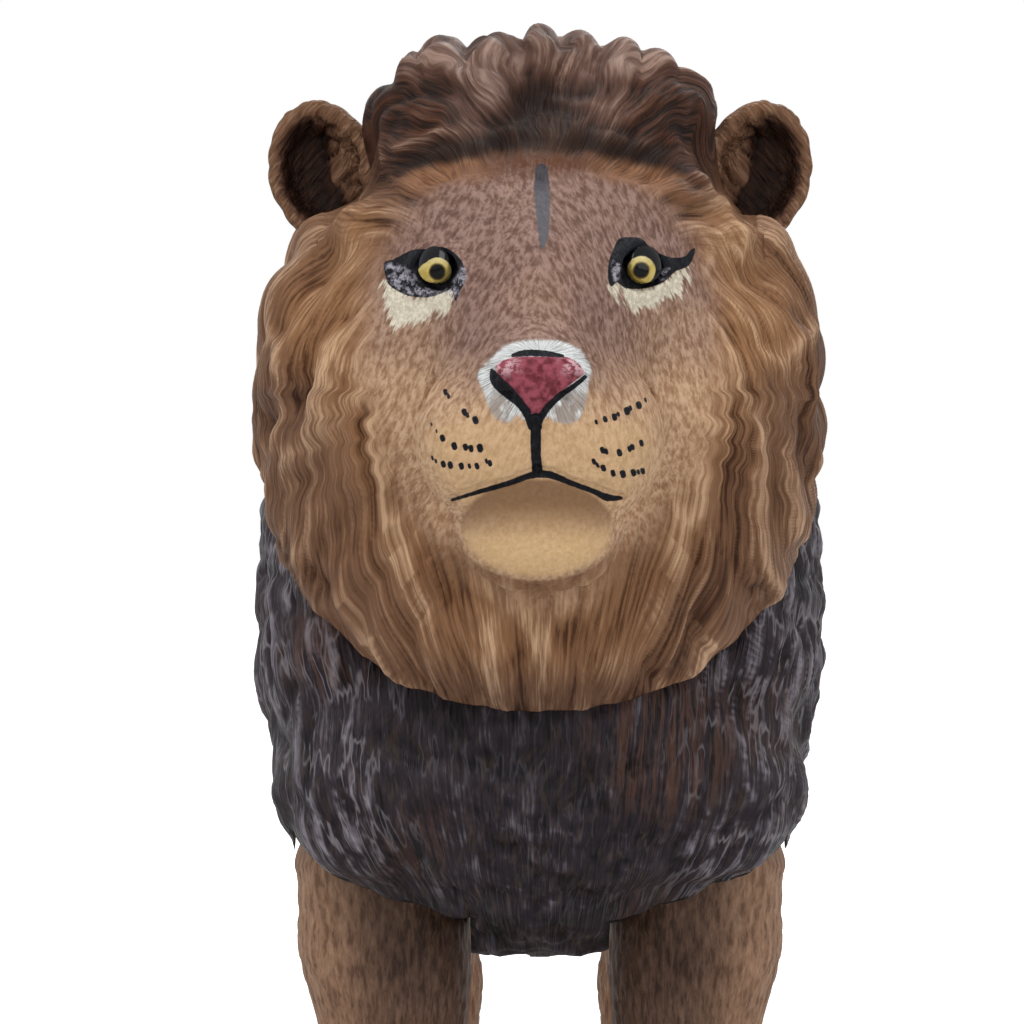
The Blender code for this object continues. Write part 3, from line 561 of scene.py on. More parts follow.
def first_crossing(behind: np.ndarray) -> np.ndarray:
    """Find the fractional row where each column first turns above zero."""
    crossed = behind > 0.0
    row = np.maximum(crossed.argmax(axis=0), 1)
    columns = np.arange(behind.shape[1])
    low, high = behind[row - 1, columns], behind[row, columns]
    return row - 1 + np.clip(-low / np.maximum(high - low, 1e-9), 0.0, 1.0)


def grid_normals(points: np.ndarray, heart: np.ndarray) -> np.ndarray:
    """Unit normals of a grid whose columns go all the way round, pointing away from its heart."""
    down = np.gradient(points, axis=0)
    ahead = np.roll(points, -1, axis=1) - np.roll(points, 1, axis=1)
    normals = np.cross(down, ahead)
    normals /= np.maximum(np.linalg.norm(normals, axis=-1, keepdims=True), 1e-12)
    outward = np.sign((normals * (points - heart)).sum())
    return normals * outward


def smoothed(values: np.ndarray, rounds: int) -> np.ndarray:
    """Even out a grid whose columns go all the way round."""
    for _ in range(rounds):
        values = (np.roll(values, 1, axis=1) + 2.0 * values + np.roll(values, -1, axis=1)) / 4.0
        values[1:-1] = (values[:-2] + 2.0 * values[1:-1] + values[2:]) / 4.0
    return values


def table_at(shares: tuple[Point, ...], places: np.ndarray) -> np.ndarray:
    """Read a table of (place, value) pairs."""
    table = np.array(shares)
    return np.interp(places, table[:, 0], table[:, 1])


def grid_quads(rows: int, columns: int, base: int = 0) -> list[tuple[int, ...]]:
    """List the faces of a grid that goes round, whose first point has the number base."""
    faces: list[tuple[int, ...]] = []
    for start in range(base, base + (rows - 1) * columns, columns):
        for column in range(columns):
            a, b = start + column, start + (column + 1) % columns
            faces.append((a, b, b + columns, a + columns))
    return faces


def grid_faces(rows: int, columns: int) -> list[tuple[int, ...]]:
    """List the faces of a grid that goes round, with a fan to a pole at each end."""
    faces = grid_quads(rows, columns)
    first, last, base = rows * columns, rows * columns + 1, (rows - 1) * columns
    for column in range(columns):
        after = (column + 1) % columns
        faces += [(after, column, first), (base + column, base + after, last)]
    return faces


def make_object(name: str, points: np.ndarray, faces: list, traits: dict[str, np.ndarray]) -> bpy.types.Object:
    """Make a mesh object with its traits kept on its points.

    Args:
        name: the piece's name.
        points: places in metres.
        faces: corners of each face.
        traits: number or vector for each point, by name.

    Returns:
        The object, in the scene.
    """
    mesh = bpy.data.meshes.new(name)
    mesh.from_pydata(points.reshape(-1, 3).tolist(), [], faces)
    for label, values in traits.items():
        kind, key = ("FLOAT_VECTOR", "vector") if values.ndim > 1 else ("FLOAT", "value")
        mesh.attributes.new(label, kind, "POINT").data.foreach_set(key, values.astype(np.float32).ravel())
    mesh.shade_smooth()
    made = bpy.data.objects.new(name, mesh)
    bpy.context.scene.collection.objects.link(made)
    return made


def face_outwards(made: bpy.types.Object) -> bpy.types.Object:
    """Turn all faces of a closed mesh outwards."""
    builder = bmesh.new()
    builder.from_mesh(made.data)
    bmesh.ops.recalc_face_normals(builder, faces=builder.faces)
    builder.to_mesh(made.data)
    builder.free()
    return made


def skin_object(name: str, points: np.ndarray, traits: dict[str, np.ndarray]) -> bpy.types.Object:
    """Make a closed skin from a grid, with a pole in the middle of its first and its last row."""
    rows, columns = points.shape[:2]
    flat = np.concatenate((points.reshape(-1, 3), points[0].mean(axis=0)[None], points[-1].mean(axis=0)[None]))
    kept = {}
    for label, values in traits.items():
        tail = values.shape[2:]
        ends = np.stack((values[0].mean(axis=0), values[-1].mean(axis=0)))
        kept[label] = np.concatenate((values.reshape((-1, *tail)), ends))
    return face_outwards(make_object(name, flat, grid_faces(rows, columns), kept))


def fit_for(made: bpy.types.Object, body: str, slot: str, material: bpy.types.Material, *nodes: str) -> None:
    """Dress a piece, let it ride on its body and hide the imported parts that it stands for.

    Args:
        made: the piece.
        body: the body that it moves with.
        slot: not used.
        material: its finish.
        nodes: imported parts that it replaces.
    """
    made.data.materials.clear()
    made.data.materials.append(material)
    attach(made, body)
    if nodes:
        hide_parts(*nodes)
    log.info("%s: %d faces, on %s", made.name, len(made.data.polygons), body)


def segment_away(
    start: np.ndarray, end: np.ndarray, column: np.ndarray, row: np.ndarray
) -> tuple[np.ndarray, np.ndarray]:
    """Measure places against a straight line on the photograph's frame.

    Args:
        start: column and row of the line's start.
        end: column and row of its end.
        column: columns of the places.
        row: rows of the places.

    Returns:
        The distance of each place, and the share of the line at which it is nearest.
    """
    way = end - start
    share = ((column - start[0]) * way[0] + (row - start[1]) * way[1]) / max(way @ way, 1e-6)
    share = np.clip(share, 0.0, 1.0)
    return np.hypot(column - start[0] - share * way[0], row - start[1] - share * way[1]), share


@dataclass(frozen=True)
class Stroke:
    """A line drawn with a brush: its points, and its half width along it, all in pixels."""

    points: tuple[Point, ...]
    widths: tuple[float, ...]

    def distance(self, column: np.ndarray, row: np.ndarray) -> np.ndarray:
        """Distance from the stroke's edge in pixels, below zero inside."""
        line = rounded(self.points, False)
        widths = np.interp(np.linspace(0.0, 1.0, len(line)), np.linspace(0.0, 1.0, len(self.widths)), self.widths)
        best = np.full(column.shape, FAR_PIXELS)
        for (start, end), (wide, narrow) in zip(zip(line, line[1:]), zip(widths, widths[1:])):
            off, share = segment_away(start, end, column, row)
            best = np.minimum(best, off - wide - share * (narrow - wide))
        return best


@dataclass(frozen=True)
class Patch:
    """A painted area: the points round it, in pixels."""

    points: tuple[Point, ...]

    def distance(self, column: np.ndarray, row: np.ndarray) -> np.ndarray:
        """Distance from the patch's edge in pixels, below zero inside."""
        line = rounded(self.points, True)
        best = np.full(column.shape, FAR_PIXELS)
        inside = np.zeros(column.shape, dtype=bool)
        for start, end in zip(line, line[1:]):
            best = np.minimum(best, segment_away(start, end, column, row)[0])
            spans = (start[1] > row) != (end[1] > row)
            rise = end[1] - start[1]
            climb = rise if abs(rise) > 1e-6 else 1e-6
            inside ^= spans & (column < start[0] + (row - start[1]) * (end[0] - start[0]) / climb)
        return np.where(inside, -best, best)


def rounded(points: tuple[Point, ...], closed: bool) -> np.ndarray:
    """Round the corners of a line by one smooth curve through its points.

    Args:
        points: the line's points.
        closed: whether the last point joins the first.

    Returns:
        Three points for each one of the line's.
    """
    line = np.array(points, dtype=float)
    if len(line) < 3:
        return line if len(line) > 1 else np.repeat(line, 2, axis=0)
    if closed:
        line = np.concatenate((line[-1:], line, line[:2]))
    else:
        line = np.concatenate((line[:1], line, line[-1:]))
    made = []
    for a, b, c, d in zip(line, line[1:], line[2:], line[3:]):
        for share in (0.0, 1 / 3, 2 / 3):
            bend = 2 * a - 5 * b + 4 * c - d + share * (3 * (b - c) + d - a)
            made.append(b + 0.5 * share * (c - a + share * bend))
    made.append(made[0] if closed else line[-1])
    return np.array(made)


def dots(*places: tuple[float, float, float]) -> tuple[Stroke, ...]:
    """Short dabs of a brush: column, row and half width of each."""
    return tuple(Stroke(((x, y - 1.2), (x + 0.8, y + 1.4)), (size, size)) for x, y, size in places)


EYE_BLACK = (
    Patch(
        (
            (383.7, 262.6), (393, 259.5), (403, 254), (413.5, 249.6), (428, 248.9), (442.4, 246.7), (454, 252.5),
            (461.5, 261), (465.5, 271.5), (464.5, 283), (458.5, 294), (455.5, 303), (452, 290), (441, 293.5),
            (428, 297.4), (409, 296), (396, 290), (388, 283.5), (385, 274),
        )
    ),
    Patch(
        (
            (611.3, 287), (608, 277), (609, 261), (613.5, 248.7), (618.5, 239.2), (626.5, 237.2), (636, 237.2),
            (644, 240), (650.5, 248), (659.5, 253.4), (672.2, 257.6), (685, 256.2), (690.5, 249.6), (695.2, 248.2),
            (694, 255.5), (688.5, 266), (675.5, 271.5), (666, 280.5), (655, 286), (640, 289), (625, 288),
            (617, 282),
        )
    ),
)
EYE_GREY = (
    Patch(
        (
            (384, 266), (393, 263), (402, 266), (411, 270), (416, 279), (423, 287), (433, 290.5), (444, 291),
            (451, 284), (459, 273), (463, 262), (466, 270), (465, 283), (459, 294), (456, 302), (451, 296),
            (440, 296), (425, 296.5), (409, 294.5), (397, 289), (388, 280),
        )
    ),
    Patch(((612, 262), (618, 258), (621, 268), (619, 278), (614, 280))),
    Patch(((661, 272), (668, 268), (671, 272), (664, 279), (659, 279))),
)
EYE_CREAM = (
    Patch(
        (
            (385, 284), (397, 290), (410, 295), (428, 296), (441, 293), (451, 290), (455, 299), (449, 308),
            (438, 314), (428, 320), (415, 323), (402, 326), (392, 325), (385.5, 314), (384, 300),
        )
    ),
    Patch(
        (
            (611, 287), (616, 283.5), (620, 284), (626, 289), (637, 291), (650, 288.5), (661, 283.5), (673.5, 275.5),
            (683, 268.5), (687.5, 266.5), (688.2, 273), (679, 291), (663, 302.5), (650, 308.5), (638, 309),
            (626, 305.5), (616, 295),
        )
    ),
)
NOSE_WHITE = (
    Patch(
        (
            (530.8, 340.5), (518, 342), (506, 346), (494, 356), (484, 366), (477.5, 375), (483, 389), (488, 404),
            (494, 416), (503, 422), (511, 421), (517, 414), (524, 420), (535, 424), (548, 416), (555, 421),
            (566, 423), (577, 420), (584, 408), (588, 386), (590, 367), (581, 352), (570, 345), (557, 341),
        )
    ),
)
NOSE_PINK = (
    Patch(
        (
            (496, 365), (502, 361), (509, 358.5), (514, 356.5), (530, 356.5), (547, 356.5), (562, 356.5), (571, 358.5),
            (580, 365), (584, 373.5), (575, 381), (562, 391.5), (547, 407), (537, 421), (529, 409), (521, 399),
            (510.5, 388), (501, 379), (496, 371),
        )
    ),
)
CLEFT = Stroke(((535.5, 418), (535.8, 440), (536, 456), (537.5, 472)), (5.2, 5.4, 5.0, 5.4))
MOUTH = (
    Stroke(((452, 500), (480, 491.5), (508, 483.5), (527, 476.5), (537, 474)), (1.5, 2.4, 2.8, 3.2, 4.0)),
    Stroke(
        ((537, 474), (551, 475), (568.4, 482), (594, 491.5), (607, 497.5), (621, 498)), (4.0, 3.8, 2.8, 2.7, 3.8, 2.0)
    ),
)
BLACK_LINES = (
    *EYE_BLACK,
    Stroke(((513, 355.4), (525, 353), (545, 353.6), (563, 356)), (2.0, 3.4, 3.2, 1.6)),
    Patch(
        (
            (489.5, 374), (491, 368.5), (495.5, 371), (503, 379), (512, 387), (522, 399), (530, 409), (534, 419),
            (541, 421), (541, 430), (529.5, 430), (525, 419), (518, 408), (507, 399), (497, 391), (491, 383),
        )
    ),
    Stroke(((585, 377), (574, 386), (562, 394), (552, 403), (545, 411), (539, 421)), (2.2, 2.6, 3.2, 3.4, 3.6, 4.0)),
    CLEFT,
    *MOUTH,
    *dots(
        (445, 392, 2.2), (448, 396, 1.6), (464, 412, 2.6), (467, 415, 1.8), (475, 420, 3.0),
        (431, 424, 1.0), (436, 431, 1.1), (442, 438, 2.6), (454, 446, 2.9), (465, 447, 2.6), (470.5, 448.5, 2.6),
        (479.5, 448, 3.2), (432, 458, 1.4), (435.5, 461, 1.3), (443, 464, 2.5), (450, 465, 2.7), (461, 466, 2.6),
        (469, 466, 1.6), (476.5, 466, 2.3), (489.5, 463, 2.2), (486, 461, 1.6),
        (596, 422, 1.6), (604.7, 419, 2.2), (614, 417, 2.6), (618, 414, 1.4), (626.5, 411, 3.0), (630, 408, 1.6),
        (638.5, 405, 2.8), (645, 400, 1.3), (602, 450, 2.4), (606, 451.5, 2.0), (619, 452.5, 2.7), (629, 449, 1.9),
        (632, 447, 2.0), (641, 443, 2.3), (593.5, 461.5, 2.1), (597, 465, 1.5), (603, 468, 2.6), (612.6, 473, 2.4),
        (622.5, 474, 3.0), (633, 472.5, 2.6), (642.5, 471, 2.2), (638, 472, 1.5),
    ),
)
STRIPE_BLUE = (
    Stroke(((541.5, 170), (542, 190), (543, 214), (543.5, 232), (542.5, 246)), (6.5, 8.0, 7.0, 5.5, 2.5)),
)


def painted(strokes: Iterable[Union[Stroke, Patch]], column: np.ndarray, row: np.ndarray) -> np.ndarray:
    """Measure places against painted strokes.

    Args:
        strokes: lines and areas.
        column: columns of the places.
        row: rows of the places.

    Returns:
        Distance from the nearest stroke's edge, in millimetres, below zero inside.
    """
    best = np.full(column.shape, FAR)
    for stroke in strokes:
        xs, ys = zip(*stroke.points)
        close = (column > min(xs) - BRUSH_REACH) & (column < max(xs) + BRUSH_REACH)
        close &= (row > min(ys) - BRUSH_REACH) & (row < max(ys) + BRUSH_REACH)
        best[close] = np.minimum(best[close], stroke.distance(column[close], row[close]))
    return best * PIXEL


def tone(red: float, green: float, blue: float) -> Colour:
    """A colour as paint cards give it, from 0 to 255, in the linear values that a shader takes."""
    shares = (value / 255.0 for value in (red, green, blue))
    return tuple(s / 12.92 if s <= 0.04045 else ((s + 0.055) / 1.055) ** 2.4 for s in shares)


Number = Union["Link", float]


class Link:
    """A socket of a material, with arithmetic that adds its nodes."""

    def __init__(self, nodes: "Nodes", socket: bpy.types.NodeSocket) -> None:
        """Keep the socket and the node tree that it is in."""
        self.nodes = nodes
        self.socket = socket

    def math(self, operation: str, *others: Number) -> "Link":
        """Add a Math node on this value and others."""
        return self.nodes.math(operation, self, *others)

    def __add__(self, other: Number) -> "Link":
        """Sum."""
        return self.math("ADD", other)

    def __sub__(self, other: Number) -> "Link":
        """Difference."""
        return self.math("SUBTRACT", other)

    def __mul__(self, other: Number) -> "Link":
        """Product."""
        return self.math("MULTIPLY", other)

    def __rsub__(self, other: float) -> "Link":
        """Difference from a plain number."""
        return self.nodes.math("SUBTRACT", other, self)

    __radd__ = __add__
    __rmul__ = __mul__

    def span(self, low: float, high: float) -> "Link":
        """Rise smoothly from 0 to 1 while this value goes from low to high."""
        values = {"Value": self, "From Min": low, "From Max": high}
        return self.nodes.node("ShaderNodeMapRange", {"interpolation_type": "SMOOTHSTEP"}, values)

    def scaled(self, x: float, y: float, z: float) -> "Link":
        """Stretch a vector."""
        return self.nodes.node("ShaderNodeVectorMath", {"operation": "MULTIPLY"}, {0: self, 1: (x, y, z)})

    def parts(self) -> tuple["Link", "Link", "Link"]:
        """The three numbers of a vector."""
        return self.nodes.outputs("ShaderNodeSeparateXYZ", {0: self}, "X", "Y", "Z")


class Nodes:
    """Adds nodes to a tree."""

    def __init__(self, tree: bpy.types.NodeTree) -> None:
        """Keep the tree."""
        self.tree = tree

    def give(self, socket: bpy.types.NodeSocket, value: Union[Number, tuple]) -> None:
        """Set a socket to a plain value, or join a link to it."""
        if isinstance(value, Link):
            self.tree.links.new(value.socket, socket)
        else:
            socket.default_value = value

    def node(self, kind: str, settings: dict, values: dict, output: Union[int, str] = 0) -> Link:
        """Add a node.

        Args:
            kind: the node's type.
            settings: its own settings, set first.
            values: numbers, vectors or links for its sockets, by name or number.
            output: which of its outputs to hand back.

        Returns:
            The output, as a link.
        """
        made = self.tree.nodes.new(kind)
        for label, value in settings.items():
            setattr(made, label, value)
        for label, value in values.items():
            self.give(made.inputs[label], value)
        return Link(self, made.outputs[output])

    def outputs(self, kind: str, values: dict, *names: str) -> tuple[Link, ...]:
        """Add a node and hand back several of its outputs."""
        made = self.node(kind, {}, values).socket.node
        return tuple(Link(self, made.outputs[name]) for name in names)

    def math(self, operation: str, *values: Number) -> Link:
        """Add a Math node."""
        return self.node("ShaderNodeMath", {"operation": operation}, dict(enumerate(values)))


class Paint(Nodes):
    """Builds one material."""

    def __init__(self, name: str) -> None:
        """Start with the surface shader alone."""
        self.material = bpy.data.materials.new(name)
        self.material.use_nodes = True
        super().__init__(self.material.node_tree)
        self.shader = self.tree.nodes["Principled BSDF"]

    def trait(self, name: str) -> Link:
        """Read a vector kept on the skin's points."""
        return self.node("ShaderNodeAttribute", {"attribute_name": name}, {}, "Vector")

    def place(self) -> Link:
        """The place on the piece as moulded, in millimetres."""
        spot = self.node("ShaderNodeTexCoord", {}, {}, "Object")
        return spot.scaled(1000.0, 1000.0, 1000.0)

    def noise(self, where: Link, scale: float, detail: float = 2.0, rough: float = 0.55) -> Link:
        """Smooth random values from 0 to 1, about 0.5."""
        values = {"Vector": where, "Scale": scale, "Detail": detail, "Roughness": rough}
        return self.node("ShaderNodeTexNoise", {}, values)

    def vector(self, x: Number, y: Number, z: Number) -> Link:
        """Join three numbers."""
        return self.node("ShaderNodeCombineXYZ", {}, {"X": x, "Y": y, "Z": z})

    def fade(self, mask: Link, under: Link, over: Link) -> Link:
        """Go over from one number to the other as the mask goes from 0 to 1."""
        return self.node("ShaderNodeMix", {"data_type": "FLOAT"}, {0: mask, 2: under, 3: over})

    def mix(self, mask: Number, under: Union[Link, Colour], over: Union[Link, Colour]) -> Link:
        """Lay one colour over another."""
        colours = {}
        for number, colour in ((6, under), (7, over)):
            colours[number] = colour if isinstance(colour, Link) else (*colour, 1.0)
        return self.node("ShaderNodeMix", {"data_type": "RGBA", "clamp_factor": True}, {0: mask, **colours}, 2)

    def finish(self, colour: Link, rough: Number, height: Link, depth: float, bend: float = 1.3) -> bpy.types.Material:
        """Join everything to the surface shader.

        Args:
            colour: the paint.
            rough: roughness.
            height: relief that is too fine for the mesh, from 0 to 1.
            depth: how deep that relief is, in metres.
            bend: index of refraction, which sets how much the surface mirrors.

        Returns:
            The material.
        """
        bump = self.node("ShaderNodeBump", {}, {"Height": height, "Distance": depth, "Strength": 1.0})
        for label, value in (("Base Color", colour), ("Roughness", rough), ("Normal", bump), ("IOR", bend)):
            self.give(self.shader.inputs[label], value)
        return self.material


@dataclass(frozen=True)
class HairFinish:
    """Painted hair by height: darker in the grooves, which paints shade into them, and lighter on the ridges,
    dry-brushed paint on the brown hair and a painted glint on the black.
    """

    groove: Colour
    body: Colour
    ridge: Colour


BROWN_MANE = HairFinish(tone(58, 34, 22), tone(118, 85, 63), tone(194, 158, 128))
GOLD_MANE = HairFinish(tone(88, 54, 30), tone(150, 108, 74), tone(216, 178, 140))
CREST_HAIR = HairFinish(tone(26, 12, 7), tone(76, 46, 32), tone(172, 138, 118))
# CREST_TIPS: the crest's paler top tufts, paler paint that also carries painted highlight on the tops
CREST_TIPS = HairFinish(tone(48, 33, 28), tone(104, 78, 68), tone(176, 150, 138))
# BLACK_MANE: its lilac-grey ridge tone is a painted glint
BLACK_MANE = HairFinish(tone(10, 7, 9), tone(40, 33, 39), tone(136, 130, 138))
TAN_COAT = HairFinish(tone(106, 76, 56), tone(146, 112, 88), tone(176, 140, 112))
DEEP_COAT = HairFinish(tone(54, 36, 28), tone(86, 62, 49), tone(112, 86, 70))


@dataclass(frozen=True)
class Palette:
    """The single paints of the figure, among them tones of painted shade and painted highlight."""

    shade_brown: Colour = tone(66, 48, 43)
    shade_crest: Colour = tone(22, 9, 4)
    upper_dark: Colour = tone(106, 78, 68)
    upper_light: Colour = tone(158, 128, 117)
    lower_dark: Colour = tone(162, 124, 94)
    lower_light: Colour = tone(210, 176, 144)
    lower_slash: Colour = tone(132, 94, 70)
    chin_dark: Colour = tone(206, 168, 122)
    chin_light: Colour = tone(218, 184, 140)
    chin_shade: Colour = tone(108, 72, 50)
    fringe_middle: Colour = tone(94, 58, 38)
    fringe_side: Colour = tone(140, 98, 70)
    cream_worn: Colour = tone(206, 196, 176)
    cream: Colour = tone(236, 228, 208)
    chalk_worn: Colour = tone(158, 156, 154)
    chalk: Colour = tone(234, 238, 238)
    chalk_rubbed: Colour = tone(146, 126, 112)
    slate_low: Colour = tone(86, 90, 98)
    slate_high: Colour = tone(42, 50, 60)
    rose_dark: Colour = tone(104, 42, 51)
    rose: Colour = tone(156, 78, 91)
    rose_highlight: Colour = tone(220, 176, 182)
    ink: Colour = tone(16, 17, 22)
    ink_worn: Colour = tone(36, 38, 46)
    dry_grey: Colour = tone(108, 104, 116)
    dry_white: Colour = tone(178, 174, 184)
    mane_glint: Colour = tone(146, 141, 148)
    mane_warm: Colour = tone(96, 64, 48)
    belly: Colour = tone(178, 148, 118)
    spine: Colour = tone(92, 66, 50)
    paw: Colour = tone(186, 156, 124)
    iris_dark: Colour = tone(178, 154, 76)
    iris: Colour = tone(204, 184, 108)
    iris_low: Colour = tone(226, 214, 166)
    eye_black: Colour = tone(14, 15, 19)
    iris_ring: Colour = tone(84, 66, 28)
    pupil: Colour = tone(6, 6, 8)
    plug_dark: Colour = tone(78, 74, 72)
    plug_light: Colour = tone(104, 98, 94)
    claw_dark: Colour = tone(30, 24, 22)
    claw_light: Colour = tone(74, 62, 54)


PALETTE = Palette()


def hair_colour(paint: Paint, finish: HairFinish, level: Link) -> Link:
    """Colour of painted hair by how high it stands, from 0 to 1, with painted shade in the low places."""
    low = paint.mix(level.span(0.08, 0.5), finish.groove, finish.body)
    return paint.mix(level.span(0.46, 0.98), low, finish.ridge)


def strands(paint: Paint, swept: Link) -> tuple[Link, Link]:
    """Fine and broad hair lines along the lie of the hair, which is another where it is swept."""
    lines = []
    for stretch, detail in (((1.9, 1.9, 0.16), 3.0), ((0.62, 0.62, 0.07), 2.0)):
        plain, hung = (paint.noise(paint.trait(name).scaled(*stretch), 1.0, detail) for name in ("flow", "sweep"))
        lines.append(paint.fade(swept, plain, hung))
    return tuple(lines)


def head_material() -> bpy.types.Material:
    """Paint of the head: short fur on the face, brown mane, dark crest and the brushed lines."""
    paint = Paint("painted_head_vinyl")
    flow, where = paint.trait("flow"), paint.place()
    mane, crest, tan = paint.trait("zone").parts()
    swept, chance, height = paint.trait("lock").parts()
    fine, broad = strands(paint, swept)
    mottle = paint.noise(where, 0.16, 4.0, 0.6)
    speck = paint.noise(where, 1.6, 3.0, 0.6)
    level = height * 0.70 + fine.span(0.3, 0.7) * 0.36 + chance * 0.06 + mottle * 0.2 - 0.26
    golden, painted_shade, pale = paint.trait("hue").parts()
    level = level + golden * 0.08
    brown = hair_colour(paint, BROWN_MANE, level)
    brown = paint.mix(golden + (broad - 0.5) * 0.8, brown, hair_colour(paint, GOLD_MANE, level))
    # painted shade: a dim brown on the mane's low rim, and a near black in the crest's middle and in the hollow over
    # the hairline
    brown = paint.mix(painted_shade * 0.7, brown, PALETTE.shade_brown)
    dark = hair_colour(paint, CREST_HAIR, level - 0.14)
    # the pale tufts: paler paint, lighter still at the crest's top edge as painted highlight
    dark = paint.mix(pale * 0.6, dark, hair_colour(paint, CREST_TIPS, level))
    dark = paint.mix(painted_shade * 0.9, dark, PALETTE.shade_crest)
    hair = paint.mix(crest, brown, dark)
    x, y, z = where.parts()
    side = x.math("ABSOLUTE")
    slant = paint.vector(side * 1.4 + z * 0.55, y * 1.2 + x * 0.6, z * 0.62 - side * 0.2)
    short = paint.noise(slant, 1.0, 3.0, 0.62)
    tuft = short.span(0.34, 0.66)
    upper = paint.mix(tuft, PALETTE.upper_dark, PALETTE.upper_light)
    lower = paint.mix(tuft, PALETTE.lower_dark, PALETTE.lower_light)
    slash = paint.noise(slant.scaled(0.62, 0.5, 0.55), 1.0, 2.0).span(0.56, 0.68) * z.span(150.0, 156.0)
    lower = paint.mix(slash * side.span(13.0, 19.0) * 0.55, lower, PALETTE.lower_slash)
    face = paint.mix(tan + (mottle - 0.5) * 0.5, upper, lower)
    gold, shade, fringe = paint.trait("tint_and_shade_zone").parts()
    face = paint.mix(gold, face, paint.mix(speck.span(0.3, 0.7), PALETTE.chin_dark, PALETTE.chin_light))
    # painted shade under the lip and round the chin
    face = paint.mix(shade * 0.75, face, PALETTE.chin_shade)
    covered = mane + crest * ((short - 0.5) * 0.8 + 0.7)
    colour = paint.mix(covered, face, hair)
    rim = paint.mix(side.span(4.0, 12.0), PALETTE.fringe_middle, PALETTE.fringe_side)
    colour = paint.mix(fringe * (fine.span(0.40, 0.56) * 0.5 + 0.5), colour, rim)
    black, grey, stripe = paint.trait("ink").parts()
    white, cream, pink = paint.trait("tint").parts()
    wobble = (paint.noise(where, 1.5, 2.0) - 0.5) * 0.34
    streak = (paint.noise(flow.scaled(2.2, 2.2, 0.5), 1.0, 2.0) - 0.5) * 1.5
    dry = speck.span(0.34, 0.6)
    brush = paint.vector(side * 1.6 + z * 0.9, side * 0.15 - z * 0.26, 0.0)
    dabs = (paint.noise(brush, 1.0, 2.0) - 0.5) * 3.4
    washed = paint.mix(speck.span(0.4, 0.66), PALETTE.cream_worn, PALETTE.cream)
    colour = paint.mix((cream + wobble + dabs * 1.5).span(0.45, -0.35), colour, washed)
    fleck = paint.noise(flow.scaled(1.6, 1.6, 0.5), 1.0, 3.0).span(0.36, 0.6)
    chalk = paint.mix(fleck, PALETTE.chalk_worn, PALETTE.chalk)
    worn = z.span(143.5, 139.5) * paint.noise(where.scaled(1.0, 1.0, 0.7), 0.6, 3.0).span(0.36, 0.56)
    chalk = paint.mix(worn * 0.75, chalk, PALETTE.chalk_rubbed)
    colour = paint.mix((white + wobble + streak * 0.7).span(0.3, -0.2), colour, chalk)
    slate = paint.mix((z + wobble * 4.0).span(167.5, 171.0), PALETTE.slate_low, PALETTE.slate_high)
    colour = paint.mix((stripe + wobble * 0.8).span(0.14, -0.14) * (fine * 0.4 + 0.66), colour, slate)
    rose = paint.mix(paint.noise(where, 0.8, 3.0).span(0.35, 0.62), PALETTE.rose_dark, PALETTE.rose)
    # painted highlight: light pink streaks on the top and the sides of the nose leather
    nose_top_highlight = paint.noise(where.scaled(1.0, 1.0, 1.8), 0.8, 4.0, 0.65).span(0.44, 0.56) * side.span(1.6, 4.4)
    rose = paint.mix(nose_top_highlight * z.span(142.6, 144.6), rose, PALETTE.rose_highlight)
    colour = paint.mix((pink + wobble * 0.3).span(0.05, -0.06), colour, rose)
    inked = (black + wobble * 0.45).span(0.05, -0.06)
    colour = paint.mix(inked, colour, paint.mix(speck.span(0.45, 0.75), PALETTE.ink, PALETTE.ink_worn))
    scrub = paint.noise(where.scaled(1.0, 1.0, 1.3), 0.85, 4.0, 0.7).span(0.42, 0.62)
    brushed = (grey + wobble).span(0.3, -0.25) * scrub
    colour = paint.mix(brushed, colour, paint.mix(dry, PALETTE.dry_grey, PALETTE.dry_white))
    rough = (1 - fine) * 0.25 + mottle * 0.16 + 0.32 - inked * 0.1 - pink.span(0.05, -0.05) * 0.18
    relief = paint.fade(mane, short * 0.8 + speck * 0.1, fine)
    return paint.finish(colour, rough, relief, 0.00050, 1.2)


def torso_material() -> bpy.types.Material:
    """Paint of the torso: black mane with brown showing through, and the tan coat behind it."""
    paint = Paint("painted_torso_vinyl")
    flow, where = paint.trait("flow"), paint.place()
    bare, warm, under = paint.trait("zone").parts()
    mane = 1 - bare
    swept, chance, height = paint.trait("lock").parts()
    fine, broad = strands(paint, swept)
    mottle = paint.noise(where, 0.12, 4.0, 0.6)
    level = height * 1.0 + fine.span(0.3, 0.7) * 0.26 + chance * 0.06 + mottle * 0.2 - 0.28
    black = hair_colour(paint, BLACK_MANE, level)
    x, _, z = where.parts()
    side = x.math("ABSOLUTE")
    # painted highlight: thin glints along the locks, stronger towards the sides of the chest
    thread = paint.noise(paint.trait("sweep").scaled(0.42, 0.42, 0.10), 1.0, 2.0)
    glint = thread.span(0.462, 0.50) * thread.span(0.538, 0.50) * paint.noise(where, 0.16, 2.0).span(0.42, 0.56)
    black = paint.mix(glint * swept * (side.span(13.0, 30.0) * 0.45 + 0.10), black, PALETTE.mane_glint)
    black = paint.mix(warm * (broad * 0.5 + fine * 0.5).span(0.44, 0.58) * 0.55, black, PALETTE.mane_warm)
    short = paint.noise(flow.scaled(1.1, 1.1, 0.3), 1.0, 3.0, 0.65)
    coat = hair_colour(paint, TAN_COAT, short.span(0.3, 0.7) * 0.6 + (mottle - 0.5) * 0.5 + 0.2)
    coat = paint.mix(under * 0.7, coat, PALETTE.belly)
    spine = side.span(16.0, 2.0) * z.span(132.0, 142.0)
    coat = paint.mix(spine * short.span(0.3, 0.7) * 0.6, coat, PALETTE.spine)
    colour = paint.mix(mane + (short - 0.5) * 0.4, coat, black)
    rough = (1 - fine) * 0.3 + mottle * 0.2 + 0.18 + (1 - mane) * 0.12
    relief = paint.fade(mane, short, fine)
    return paint.finish(colour, rough, relief, 0.00045, 1.24)


